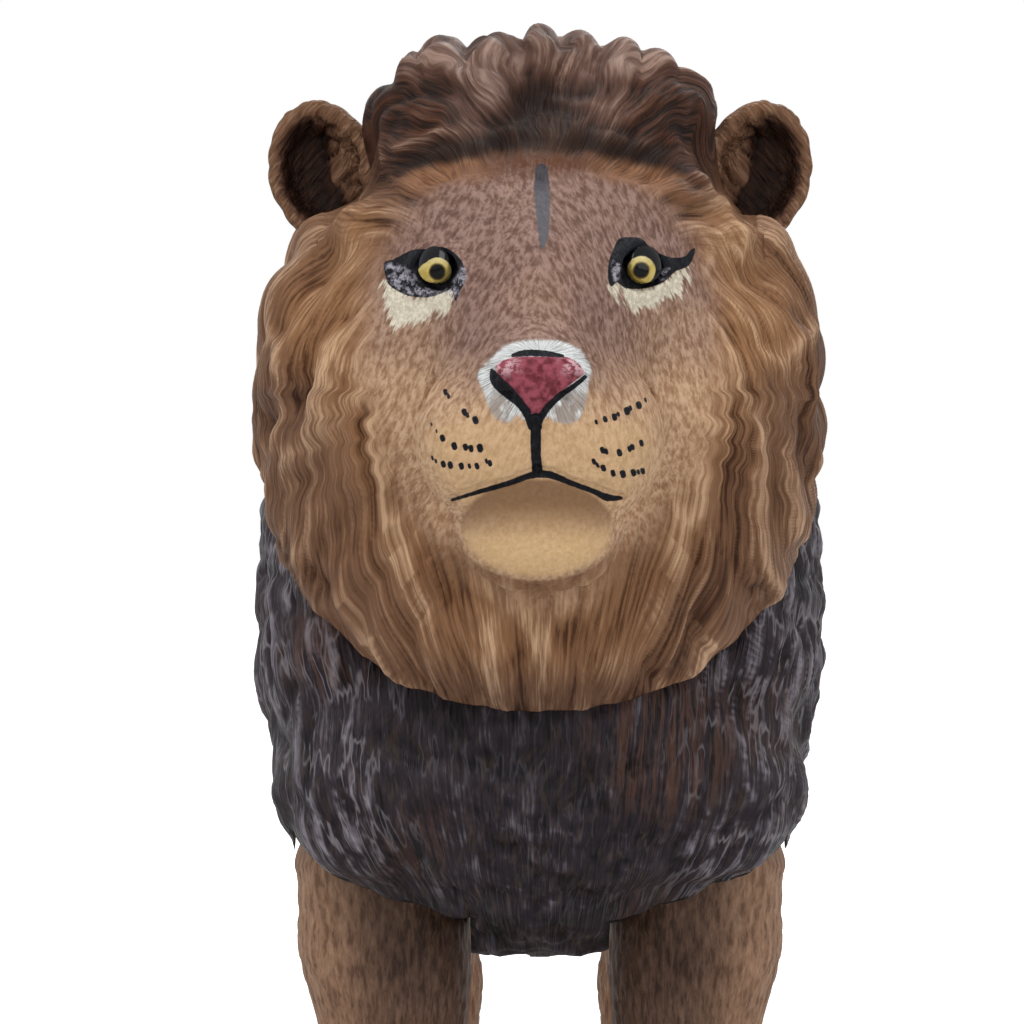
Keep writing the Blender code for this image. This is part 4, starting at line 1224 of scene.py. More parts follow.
def coat_material() -> bpy.types.Material:
    """Paint of the legs and the tail: tan short fur, dark towards the mane and dark on the tuft."""
    paint = Paint("painted_coat_vinyl")
    flow, where = paint.trait("flow"), paint.place()
    dark, pale, _ = paint.trait("zone").parts()
    mottle = paint.noise(where, 0.14, 4.0, 0.6)
    short = paint.noise(flow.scaled(1.15, 1.15, 0.3), 1.0, 3.0, 0.65)
    coat = hair_colour(paint, TAN_COAT, short.span(0.32, 0.68) * 0.6 + (mottle - 0.5) * 0.4 + 0.2)
    coat = paint.mix(pale * 0.6, coat, PALETTE.paw)
    deep = hair_colour(paint, DEEP_COAT, short.span(0.3, 0.75) * 0.7 + 0.1)
    colour = paint.mix(dark, coat, deep)
    rough = (1 - short) * 0.3 + mottle * 0.16 + 0.3
    return paint.finish(colour, rough, short, 0.00034)


def eye_material(tail: float) -> bpy.types.Material:
    """Gloss paint of an eye: black, a yellow iris with a brown ring, and the pupil.

    Args:
        tail: how far the yellow runs out to the lower outside, from 0 to 1.

    Returns:
        The material.
    """
    paint = Paint("painted_eye_gloss")
    gaze = paint.trait("gaze")
    x, y, _ = gaze.parts()
    away = (x * x + y * y).math("SQRT")
    wobble = (paint.noise(gaze, 1.4, 2.0) - 0.5) * 0.16
    cloudy = paint.noise(gaze, 0.9, 2.0)
    yellow = paint.mix(cloudy.span(0.35, 0.65), PALETTE.iris_dark, PALETTE.iris)
    yellow = paint.mix(y.span(0.4, 2.0) * 0.6, yellow, PALETTE.iris_low)
    stretch = (x * -0.7 + y * -0.7).math("MAXIMUM", 0.0) * tail
    colour = paint.mix((away - stretch + wobble).span(1.98, 1.84), PALETTE.eye_black, yellow)
    colour = paint.mix((away + wobble).span(1.28, 1.02), colour, PALETTE.iris_ring)
    colour = paint.mix((away + wobble * 0.6).span(1.0, 0.92), colour, PALETTE.pupil)
    return paint.finish(colour, 0.12, cloudy, 0.00002, 1.28)


def plug_material() -> bpy.types.Material:
    """Moulded plastic of the plugs, with faint flow marks."""
    paint = Paint("plug_plastic")
    where = paint.place()
    grain = paint.noise(where, 2.4, 4.0, 0.6)
    swirl = paint.noise(where.scaled(0.3, 0.3, 1.6), 0.5, 2.0)
    colour = paint.mix(swirl.span(0.3, 0.7), PALETTE.plug_dark, PALETTE.plug_light)
    return paint.finish(colour, grain * 0.2 + 0.36, grain, 0.00006, 1.46)


def horn_material() -> bpy.types.Material:
    """Dark paint of the claws, paler in places by its grain."""
    paint = Paint("painted_claw_vinyl")
    where = paint.place()
    grain = paint.noise(where.scaled(2.0, 0.6, 2.0), 1.2, 3.0)
    colour = paint.mix(grain.span(0.35, 0.7), PALETTE.claw_dark, PALETTE.claw_light)
    return paint.finish(colour, grain * 0.2 + 0.22, grain, 0.00006)


@dataclass(frozen=True)
class Spot:
    """A soft round area of the photograph's frame, the same on both sides of the middle column."""

    off: float
    row: float
    half_width: float
    half_height: float
    edge: float = 1.3
    core: float = 0.5

    def ring(self, off: np.ndarray, row: np.ndarray) -> np.ndarray:
        """Distance from the middle, where 1 is the outline."""
        return np.hypot((off - self.off) / self.half_width, (row - self.row) / self.half_height)

    def cover(self, off: np.ndarray, row: np.ndarray) -> np.ndarray:
        """How far inside a place lies, from 0 at the edge to 1 in the core."""
        return ramp(self.ring(off, row), self.edge, self.core)


@dataclass(frozen=True)
class FaceMap:
    """The face on the photograph's frame, in pixels. A pair says where a soft edge starts and where it is full."""

    face: Spot = Spot(0.0, 375.0, 205.0, 240.0, 1.05, 0.85)
    bridge: Spot = Spot(0.0, 312.0, 40.0, 46.0)
    muzzle: Spot = Spot(0.0, 450.0, 118.0, 74.0, 1.15, 0.8)
    chin: Spot = Spot(-3.0, 528.0, 80.0, 52.0)
    beard: Spot = Spot(0.0, 620.0, 130.0, 75.0)
    # temple: painted light in the hollow beside the ear
    temple: Spot = Spot(205.0, 285.0, 75.0, 105.0)
    # crest_dark marks the crest's middle, where painted shade lies
    crest_dark: Spot = Spot(0.0, 118.0, 45.0, 55.0, 1.2, 0.5)
    crest_pale: Spot = Spot(62.0, 92.0, 34.0, 46.0, 1.3, 0.3)
    ring_row: float = 350.0
    ring_half_width: float = 168.0
    ring_top: float = 190.0
    ring_bottom: float = 232.0
    cheek_row: float = 400.0
    cheek_taper: float = 0.10
    arch: float = 0.0012
    hairline: Point = (174.0, 162.0)
    hairline_end: Point = (122.0, 146.0)
    hairline_off: Point = (150.0, 110.0)
    fringe: Point = (182.0, 168.0)
    fringe_end: Point = (146.0, 160.0)
    fringe_off: Point = (170.0, 120.0)
    # where painted shade lies above the hairline and on the mane's low rim
    shade_end: Point = (112.0, 142.0)
    shade_off: Point = (160.0, 110.0)
    shade_low: Point = (640.0, 715.0)
    # tips and pale_tips: rows where the crest's top edge takes painted highlight
    tips: Point = (92.0, 60.0)
    pale_tips: Point = (92.0, 50.0)
    ledge_rows: Point = (397.0, 402.0)
    ledge_soft: float = 3.0
    ledge_start: Point = (300.0, 370.0)
    low_face: Point = (330.0, 440.0)
    cheek_off: Point = (60.0, 130.0)
    cheek_rows: Point = (270.0, 330.0)
    chin_gold: Point = (505.0, 555.0)
    muzzle_gold: Point = (400.0, 440.0)
    mane_gold: Point = (290.0, 380.0)
    lip_shade: Point = (545.0, 500.0)
    chin_shade: Point = (520.0, 570.0)
    lip: Point = (478.0, 486.0)
    lip_end: Point = (520.0, 495.0)
    lip_column: float = 538.0
    lip_off: Point = (80.0, 62.0)
    nostrils: Point = (505.0, 567.0)
    nostril_row: float = 396.0
    nostril_size: Point = (8.0, 6.0)
    eyes: tuple[Point, Point] = ((438.5, 271.5), (640.5, 270.5))
    lid_rows: Point = (6.0, -8.0)
    pupil_left: Point = (641.3, 270.3)
    pupil_right: Point = (437.3, 271.8)

    def off(self, column: np.ndarray) -> np.ndarray:
        """How far a column lies from the middle one, to either side."""
        return np.abs(column - LENS.middle[0])

    def arched(self, column: np.ndarray, row: np.ndarray) -> np.ndarray:
        """The row, with the hairline's arch laid straight."""
        return row - self.arch * (column - LENS.middle[0]) ** 2


FACE = FaceMap()


@dataclass
class Head:
    """The head's moulding with its mane, face, ears and eyes."""

    half_width: float = 0.040
    half_depth: float = 0.048
    half_rise: float = 0.052
    forward: float = 0.022
    lift: float = 0.007
    columns: int = 560
    coarse: int = 150
    rows: int = 240
    back_rows: int = 7
    fade_rows: int = 6
    face_y: float = -0.108
    turn_height: float = 0.146
    flow_radius: float = 40.0
    flank: Point = (0.032, 0.040)
    crown: Point = (0.184, 0.190)
    bank_place: Point = (0.0305, 0.1668)
    bank_size: Point = (0.0060, 0.0065)
    bank_back: Point = (-0.095, -0.105)
    ledge: Point = (0.034, 0.038)
    ear_share: tuple[float, float, float] = (0.755, 0.06, 0.635)
    eye_share: tuple[float, float, float] = (0.355, 0.0, 0.365)
    ear_half_width: float = 0.0079
    ear_half_height: float = 0.0110
    ear_half_depth: float = 0.0046
    ear_rows: int = 64
    ear_columns: int = 120
    ear_turns: tuple[float, float, float] = (-12.0, 22.0, 14.0)
    eye_radius: float = 0.0027
    eye_proud: float = 0.0011
    eye_seat: float = 0.0013
    locks: Comb = field(default_factory=lambda: Comb(64, 11, 1.1, 0.7))
    ear_locks: Comb = field(default_factory=lambda: Comb(26, 71, 0.7, 0.7))
    sweep: Sweep = Sweep(38.0, 0.25, 0.066, 46.0)

    def __post_init__(self) -> None:
        """Place the head before the neck face."""
        self.centre = np.array(STANCE.neck) + np.array((0.0, -self.forward, self.lift))
        self.unit = np.array((self.half_width, self.half_depth, self.half_rise))
        self.forms = Forms.paired(self.centre, self.unit, HEAD_FORM_SHARES)

    def base_skin(self) -> np.ndarray:
        """Rows of points from the muzzle to the rim, then inwards over the flat neck face."""
        tilts = np.linspace(0.0, math.pi, self.coarse)
        ways = rings(np.sin(tilts), -np.cos(tilts), all_round(self.columns))[..., [0, 2, 1]]
        starts = np.broadcast_to(self.centre, ways.shape)
        track = starts + ways * self.forms.reach(starts, ways)[..., None]
        behind = ((track - STANCE.neck) @ -STANCE.neck_axis) + STANCE.face_gap / 2.0
        column, row = LENS.pixels(track)
        facing = FACE.face.cover(FACE.off(column), row) * (track[..., 1] < self.face_y)
        start = np.full(self.columns, 0.35)
        skin = curve_at(track, spread(track, 1.0 + 0.9 * facing, start, first_crossing(behind), self.rows))
        edge = skin[-1]
        edge += np.outer((edge - STANCE.neck) @ STANCE.neck_axis - STANCE.face_gap / 2.0, -STANCE.neck_axis)
        foot = np.array(STANCE.neck) + STANCE.neck_axis * STANCE.face_gap / 2.0
        shares = (np.arange(1, self.back_rows) / self.back_rows)[:, None, None]
        return np.concatenate((skin, edge + (foot - edge) * shares))

    def lie_of_hair(self, skin: np.ndarray) -> dict[str, np.ndarray]:
        """Work out where mane, crest and face lie, and the way that the hair runs.

        Args:
            skin: rows of points of the plain form.

        Returns:
            One value for each point, by name: its place on the photograph's frame, its distance and turn from
            the face's middle, how much it belongs to the mane, the crest and the front, and the hair's own turn.
        """
        column, row = LENS.pixels(skin)
        x, y, z = (skin[..., axis] for axis in range(3))
        turn = np.arctan2(x, z - self.turn_height)
        narrowed = FACE.ring_half_width - FACE.cheek_taper * (row - FACE.cheek_row)
        wide = np.where(row < FACE.cheek_row, FACE.ring_half_width, narrowed)
        tall = np.where(row < FACE.ring_row, FACE.ring_top, FACE.ring_bottom)
        ring = np.hypot((column - LENS.middle[0]) / wide, (row - FACE.ring_row) / tall)
        behind = ramp(y, -0.117, -0.106) * np.maximum(ramp(ring, 0.78, 1.0), ramp(y, -0.104, -0.096))
        mane = np.maximum(ramp(ring + 0.05 * cloud(skin / 0.006, 5), 0.92, 1.20), behind)
        droop = ramp(np.maximum(ring, 1.0 + 0.8 * behind), 0.85, 2.0)
        lie = turn - 1.05 * droop * np.sin(turn) * (1.0 - 0.45 * np.cos(turn))
        lie += 0.055 * cloud(skin / 0.011, 7) + 0.02 * cloud(skin / 0.004, 8)
        high = z + 8.0 * x * x + 0.0008 * cloud(skin / 0.0025, 9)
        crest = mane * ramp(np.abs(turn), math.radians(52.0), math.radians(38.0)) * ramp(high, 0.169, 0.175)
        return {
            "column": column, "row": row, "arc": run_down(skin), "turn": turn, "ring": ring,
            "mane": mane, "crest": crest, "lie": lie, "front": 1.0 - behind,
        }

    def sculpt(self, skin: np.ndarray) -> tuple[np.ndarray, dict[str, np.ndarray]]:
        """Raise the hair and the features out of the plain form.

        Args:
            skin: rows of points of the plain form.

        Returns:
            The sculpted points, and the traits that the paint reads.
        """
        lie = self.lie_of_hair(skin)
        row, arc, front = lie["row"], lie["arc"], lie["front"]
        mane, crest = lie["mane"], lie["crest"]
        normals = unit_vectors(smoothed(grid_normals(skin, self.centre), 2))
        flow = wrapped(lie["lie"], self.flow_radius, arc)
        waved = flow + 1.3 * cloud(flow / np.array((5.0, 5.0, 9.0)), 61)[..., None] * np.array((1.0, 1.0, 0.0))
        swept = swept_share(lie["turn"])
        sweep = self.sweep.flow(skin, lie["turn"], arc)
        bent = sweep.copy()
        bent[..., 0] += 1.6 * cloud(skin / 0.013, 71) + 0.2 * cloud(skin / 0.005, 72)
        lock, chance = self.locks.locks(lie["lie"] / (2.0 * math.pi) * self.locks.cells, arc / 15.0)
        bundle = blend(swept, tresses(waved, 3.0, 17.0, 62), tresses(bent, 3.4, 20.0, 73))
        strand = blend(swept, tresses(waved, 1.5, 8.0, 63), tresses(bent, 1.5, 10.0, 74))
        wisp = blend(swept, wisps(waved, 3.6, 12.0, 67), wisps(bent, 3.8, 16.0, 75))
        curl = tresses(waved + 1.6 * cloud(skin / 0.004, 64)[..., None], 3.4, 7.5, 65)
        clump = tresses(waved + 1.2 * cloud(skin / 0.006, 68)[..., None], 5.4, 11.0, 69)
        long_hair = 1.05 * bundle + 0.50 * strand + 0.80 * wisp + 0.5 * lock * (1.0 - swept)
        curls = 1.6 * clump + 0.9 * curl + 0.65 * strand + 0.5 * wisp
        flank = ramp(np.abs(skin[..., 0]), *self.flank)
        rise = mane * blend(crest, long_hair - 1.55 - 0.7 * flank, curls - 3.35)
        rise = smoothed(rise + mane * MAIN_LOCKS.on_head((skin - self.centre) / self.unit), 1)
        # the crest's ridges grow lighter towards its top edge: painted highlight
        crown = 0.30 * clump + 0.22 * curl + 0.22 * strand + 0.34 * wisp + 0.3 * ramp(row, *FACE.tips) * front
        tall = np.clip(blend(crest, 0.42 * bundle + 0.22 * strand + 0.46 * wisp, crown), 0.0, 1.0)
        rise += self.ledges(skin, lie) + 0.10 * (1.0 - mane) * self.short_fur(skin)
        rise = self.features(rise, lie["column"], row, front)
        rows = len(skin) - self.back_rows + 1
        fade = np.ones(len(skin))
        fade[rows:] = 0.0
        fade[rows - self.fade_rows:rows] = np.linspace(1.0, 0.35, self.fade_rows)
        points = skin + normals * (rise * fade[:, None] * MM)[..., None]
        short = np.maximum(STANCE.face_gap / 2.0 - (points - STANCE.neck) @ STANCE.neck_axis, 0.0)
        points += short[..., None] * STANCE.neck_axis
        traits = self.traits(points, lie)
        traits.update(flow=flow, sweep=sweep, lock=triple(swept, chance, tall))
        return points, traits

    def ledges(self, skin: np.ndarray, lie: dict[str, np.ndarray]) -> np.ndarray:
        """Raise the crest's notches, the hairline, the hair before the ears and the ledge at the sides.

        Args:
            skin: rows of points of the plain form.
            lie: what lie_of_hair tells of them.

        Returns:
            The height to add, in millimetres.
        """
        x, y, z = (skin[..., axis] for axis in range(3))
        column, row, front = lie["column"], lie["row"], lie["front"]
        tuft = np.interp(x / MM + 0.9 * cloud(skin / 0.009, 70), CREST_NOTCHES, np.arange(len(CREST_NOTCHES)))
        rise = 1.9 * lie["crest"] * ramp(z, *self.crown) * (np.abs(np.sin(math.pi * tuft)) ** 0.6 - 0.72)
        hairline = band(FACE.arched(column, row), FACE.hairline, FACE.hairline_end)
        rise -= hairline * ramp(FACE.off(column), *FACE.hairline_off) * front
        beside, above = self.bank_place
        bank = np.hypot((np.abs(x) - beside) / self.bank_size[0], (z - above) / self.bank_size[1])
        rise += 3.8 * ramp(bank, 1.3, 0.2) * ramp(y, *self.bank_back)
        edge = np.where(x < 0.0, *FACE.ledge_rows)
        ledge = ramp(row, edge + FACE.ledge_soft, edge - FACE.ledge_soft) * ramp(row, *FACE.ledge_start)
        return rise + ramp(np.abs(x), *self.ledge) * front * (1.3 * ledge - 0.2)

    def short_fur(self, skin: np.ndarray) -> np.ndarray:
        """Relief of the face's slanted short fur."""
        x, y, z = (skin[..., axis] / MM for axis in range(3))
        slant = triple(np.abs(x) * 1.3 + z * 0.5, y + x, z * 0.6 - np.abs(x) * 0.2)
        return cloud(slant, 3) + 0.6 * cloud(slant * 1.9, 4) - 0.4

    def features(self, rise: np.ndarray, column: np.ndarray, row: np.ndarray, front: np.ndarray) -> np.ndarray:
        """Model the eyelids, nostrils and mouth.

        Args:
            rise: height of the skin so far, in millimetres.
            column: place in the photograph's frame.
            row: place in the photograph's frame.
            front: 1 on the face, 0 behind it.

        Returns:
            The new height.
        """
        for x, y in FACE.eyes:
            away = np.hypot(column - x, row - y) * EYE_PIXEL
            rise = rise * (1.0 - 0.9 * ramp(away, 5.5, 3.4) * front)
            upper = 0.35 + 0.65 * ramp(row, y + FACE.lid_rows[0], y + FACE.lid_rows[1])
            rise += front * (0.75 * band(away, (2.5, 3.2), (5.0, 3.5)) * upper - 1.5 * ramp(away, 2.9, 2.55))
        rise -= 0.75 * ramp(painted(MOUTH, column, row), 0.7, -0.2) * front
        below = band(row, FACE.lip, FACE.lip_end) * ramp(np.abs(column - FACE.lip_column), *FACE.lip_off)
        rise -= 0.35 * below * front
        rise -= 0.6 * ramp(painted((CLEFT,), column, row), 0.6, -0.5) * front
        rise += 0.35 * ramp(painted(NOSE_PINK, column, row), 0.5, -0.7) * front
        for x in FACE.nostrils:
            pit = np.hypot((column - x) / FACE.nostril_size[0], (row - FACE.nostril_row) / FACE.nostril_size[1])
            rise -= 0.8 * ramp(pit, 1.3, 0.3) * front
        return rise

    def traits(self, points: np.ndarray, lie: dict[str, np.ndarray]) -> dict[str, np.ndarray]:
        """Gather what the paint reads beside the lie of the hair: the zones and the brushed strokes.

        Args:
            points: the sculpted points.
            lie: what lie_of_hair tells of them.

        Returns:
            A vector for each point, by the name of the trait.
        """
        column, row = LENS.pixels(points)
        off, front = FACE.off(column), lie["front"]
        hidden = FAR * ramp(points[..., 1], -0.116, -0.108)
        ink, tint = (
            triple(*(painted(group, column, row) + hidden for group in groups))
            for groups in ((BLACK_LINES, EYE_GREY, STRIPE_BLUE), (NOSE_WHITE, EYE_CREAM, NOSE_PINK))
        )
        muzzle = FACE.muzzle.cover(off, row)
        tan = ramp(row, *FACE.low_face) + 0.45 * ramp(off, *FACE.cheek_off) * ramp(row, *FACE.cheek_rows)
        tan = np.clip(np.maximum(tan + 0.16 * FACE.bridge.cover(off, row), muzzle), 0.0, 1.0)
        chin = FACE.chin.ring(column - LENS.middle[0], row)
        gold = ramp(chin, 1.0, 0.86) * (0.35 + 0.65 * ramp(row, *FACE.chin_gold))
        gold = np.clip(gold + 0.6 * muzzle * ramp(row, *FACE.muzzle_gold), 0.0, 1.0)
        # painted shade: darker just under the lip and round the foot of the chin
        shade = ramp(chin, 1.0, 0.9) * ramp(row, *FACE.lip_shade)
        shade = np.clip(shade + band(chin, (0.98, 1.05), (1.7, 1.1)) * ramp(row, *FACE.chin_shade), 0.0, 1.0)
        arched = FACE.arched(column, row) + 5.0 * cloud(points / 0.0022, 10)
        fringe = band(arched, FACE.fringe, FACE.fringe_end) * ramp(off, *FACE.fringe_off)
        # the temple patch lightens the hair beside the ear as painted light against the shade that falls there; the
        # beard and the mane's inner ring are golden paint
        golden = np.maximum(
            np.maximum(0.6 * FACE.beard.cover(off, row), 0.95 * FACE.temple.cover(off, row)),
            0.6 * ramp(lie["ring"], 1.6, 1.1) * ramp(row, *FACE.mane_gold),
        )
        # painted shade: the mane's low rim, the crest's middle and the hollow above the hairline are painted darker
        painted_shade = np.maximum(
            np.maximum(0.8 * ramp(row, *FACE.shade_low), 0.8 * FACE.crest_dark.cover(off, row)),
            band(arched, FACE.hairline, FACE.shade_end) * ramp(off, *FACE.shade_off),
        )
        # pale: paler tufts of the crest, and its top rows lighter as painted highlight
        pale = np.clip(FACE.crest_pale.cover(off, row) + 0.8 * ramp(row, *FACE.pale_tips), 0.0, 1.0)
        return {
            "hue": triple(golden * front, painted_shade * front, pale),
            "zone": triple(lie["mane"], lie["crest"], tan),
            "tint_and_shade_zone": triple(gold, shade * front, fringe * front),
            "ink": ink,
            "tint": tint,
        }

    def build(self, material: bpy.types.Material) -> None:
        """Make the skin, the ears and the eyes."""
        points, traits = self.sculpt(self.base_skin())
        fit_for(skin_object("head_skin", points, traits), "head", "head_vinyl", material, "head")
        for side in Side:
            self.build_ear(side, material)
            self.build_eye(side)

    def build_ear(self, side: Side, material: bpy.types.Material) -> None:
        """Make an ear: a cup with a rolled rim and tufts of hair inside.

        Args:
            side: the ear's side.
            material: the head's paint.
        """
        turns = all_round(self.ear_columns, 0.0)
        along = np.linspace(0.0, len(EAR_PROFILE) - 1.0, self.ear_rows)[:, None]
        line = curve_at(np.array(EAR_PROFILE)[:, None, :], along)[:, 0]
        out, back = line[:, :1], line[:, 1:]
        sideways, up = np.cos(turns), np.sin(turns)
        flat_foot = 1.0 - 0.16 * np.clip(-up, 0.0, 1.0)
        local = triple(
            out * (sideways * flat_foot) * self.ear_half_width,
            -back * self.ear_half_depth * 0.9,
            out * up * self.ear_half_height,
        )
        outer = sideways * side.value
        inner = np.broadcast_to(ramp(along, 6.5, 9.5), local.shape[:2])
        across, down = np.broadcast_arrays(turns / (2.0 * math.pi) * self.ear_locks.cells, along / 2.4)
        height, chance = self.ear_locks.locks(across, down)
        x, y, z = (local[..., axis] / MM for axis in range(3))
        fur = triple(z + side.value * 0.6 * x, y, x * side.value - 0.6 * z)
        tufts = tresses(fur + 0.9 * cloud(local / MM / 2.5, 76)[..., None], 1.5, 4.0, 77) - 0.5
        relief = blend(inner, 0.45 * (height - 0.4), (0.35 + 0.9 * (-outer > 0.1)) * tufts)
        local = local + grid_normals(local, np.zeros(3)) * (relief * MM)[..., None]
        points = local @ self.ear_turn(side).T + self.centre + np.array(self.ear_share) * side.mirror * self.unit
        outer_side = ramp(outer, -0.75, -0.1)
        tall = np.clip(0.45 + 0.5 * tufts * inner + 0.3 * (1 - inner) * height, 0, 1)
        none = np.zeros_like(height)
        traits = {
            "flow": fur,
            "sweep": fur,
            # painted shade: the inside of the ear's cup, most on its outer side, is painted dark with the crest's hair
            # and the shade tone
            "hue": triple(none, 0.8 * inner * outer_side, none),
            "lock": triple(none, chance, tall),
            "zone": triple(none + 1.0, np.clip(inner * (0.35 + 0.85 * outer_side) + 0.12, 0.0, 1.0), none),
            "tint_and_shade_zone": triple(none, none, none),
            "ink": triple(none, none, none) + FAR,
            "tint": triple(none, none, none) + FAR,
        }
        made = skin_object(f"ear_{side.name.lower()}", points, traits)
        fit_for(made, "head", "head_vinyl", material)

    def ear_turn(self, side: Side) -> np.ndarray:
        """How an ear is turned out from facing straight ahead."""
        x, y, z = (math.radians(turn) for turn in self.ear_turns)
        turn = Matrix.Rotation(y * side.value, 3, "Y") @ Matrix.Rotation(z * side.value, 3, "Z")
        return np.array(turn @ Matrix.Rotation(x, 3, "X"))

    def eye_place(self, side: Side) -> tuple[np.ndarray, np.ndarray]:
        """Find the skin before an eye, and the way it faces."""
        start = self.centre + np.array(self.eye_share) * side.mirror * self.unit
        way = np.array((0.0, -1.0, 0.0))
        point = start + way * self.forms.reach(start[None], way[None])[0]
        nudges = np.eye(3) * self.eye_radius / 4.0
        return point, unit_vectors(self.forms.value(point + nudges) - self.forms.value(point - nudges))

    def build_eye(self, side: Side) -> None:
        """Make a domed eye whose paint knows where it looks."""
        name = f"eye_{side.name.lower()}"
        point, facing = self.eye_place(side)
        tilts = np.radians(np.linspace(4.0, 90.0, 22))
        radii = np.concatenate((np.sin(tilts), (0.985, 0.97, 0.5))) * self.eye_radius
        heights = np.concatenate((np.cos(tilts) * self.eye_proud, (-0.35, -1.0, -1.0) * np.array(self.eye_seat)))
        turn = Vector((0.0, 0.0, 1.0)).rotation_difference(Vector(facing)).to_matrix()
        points = rings(radii, heights, all_round(64, 0.0)) @ np.array(turn).T + point
        column, row = LENS.pixels(points)
        pupil, tail = (FACE.pupil_right, 0.42) if side is Side.RIGHT else (FACE.pupil_left, 0.0)
        gaze = triple((column - pupil[0]) * EYE_PIXEL, (pupil[1] - row) * EYE_PIXEL, 0.0)
        made = skin_object(f"{name}_dome", points, {"gaze": gaze})
        fit_for(made, "head", "eye_gloss", eye_material(tail), name)


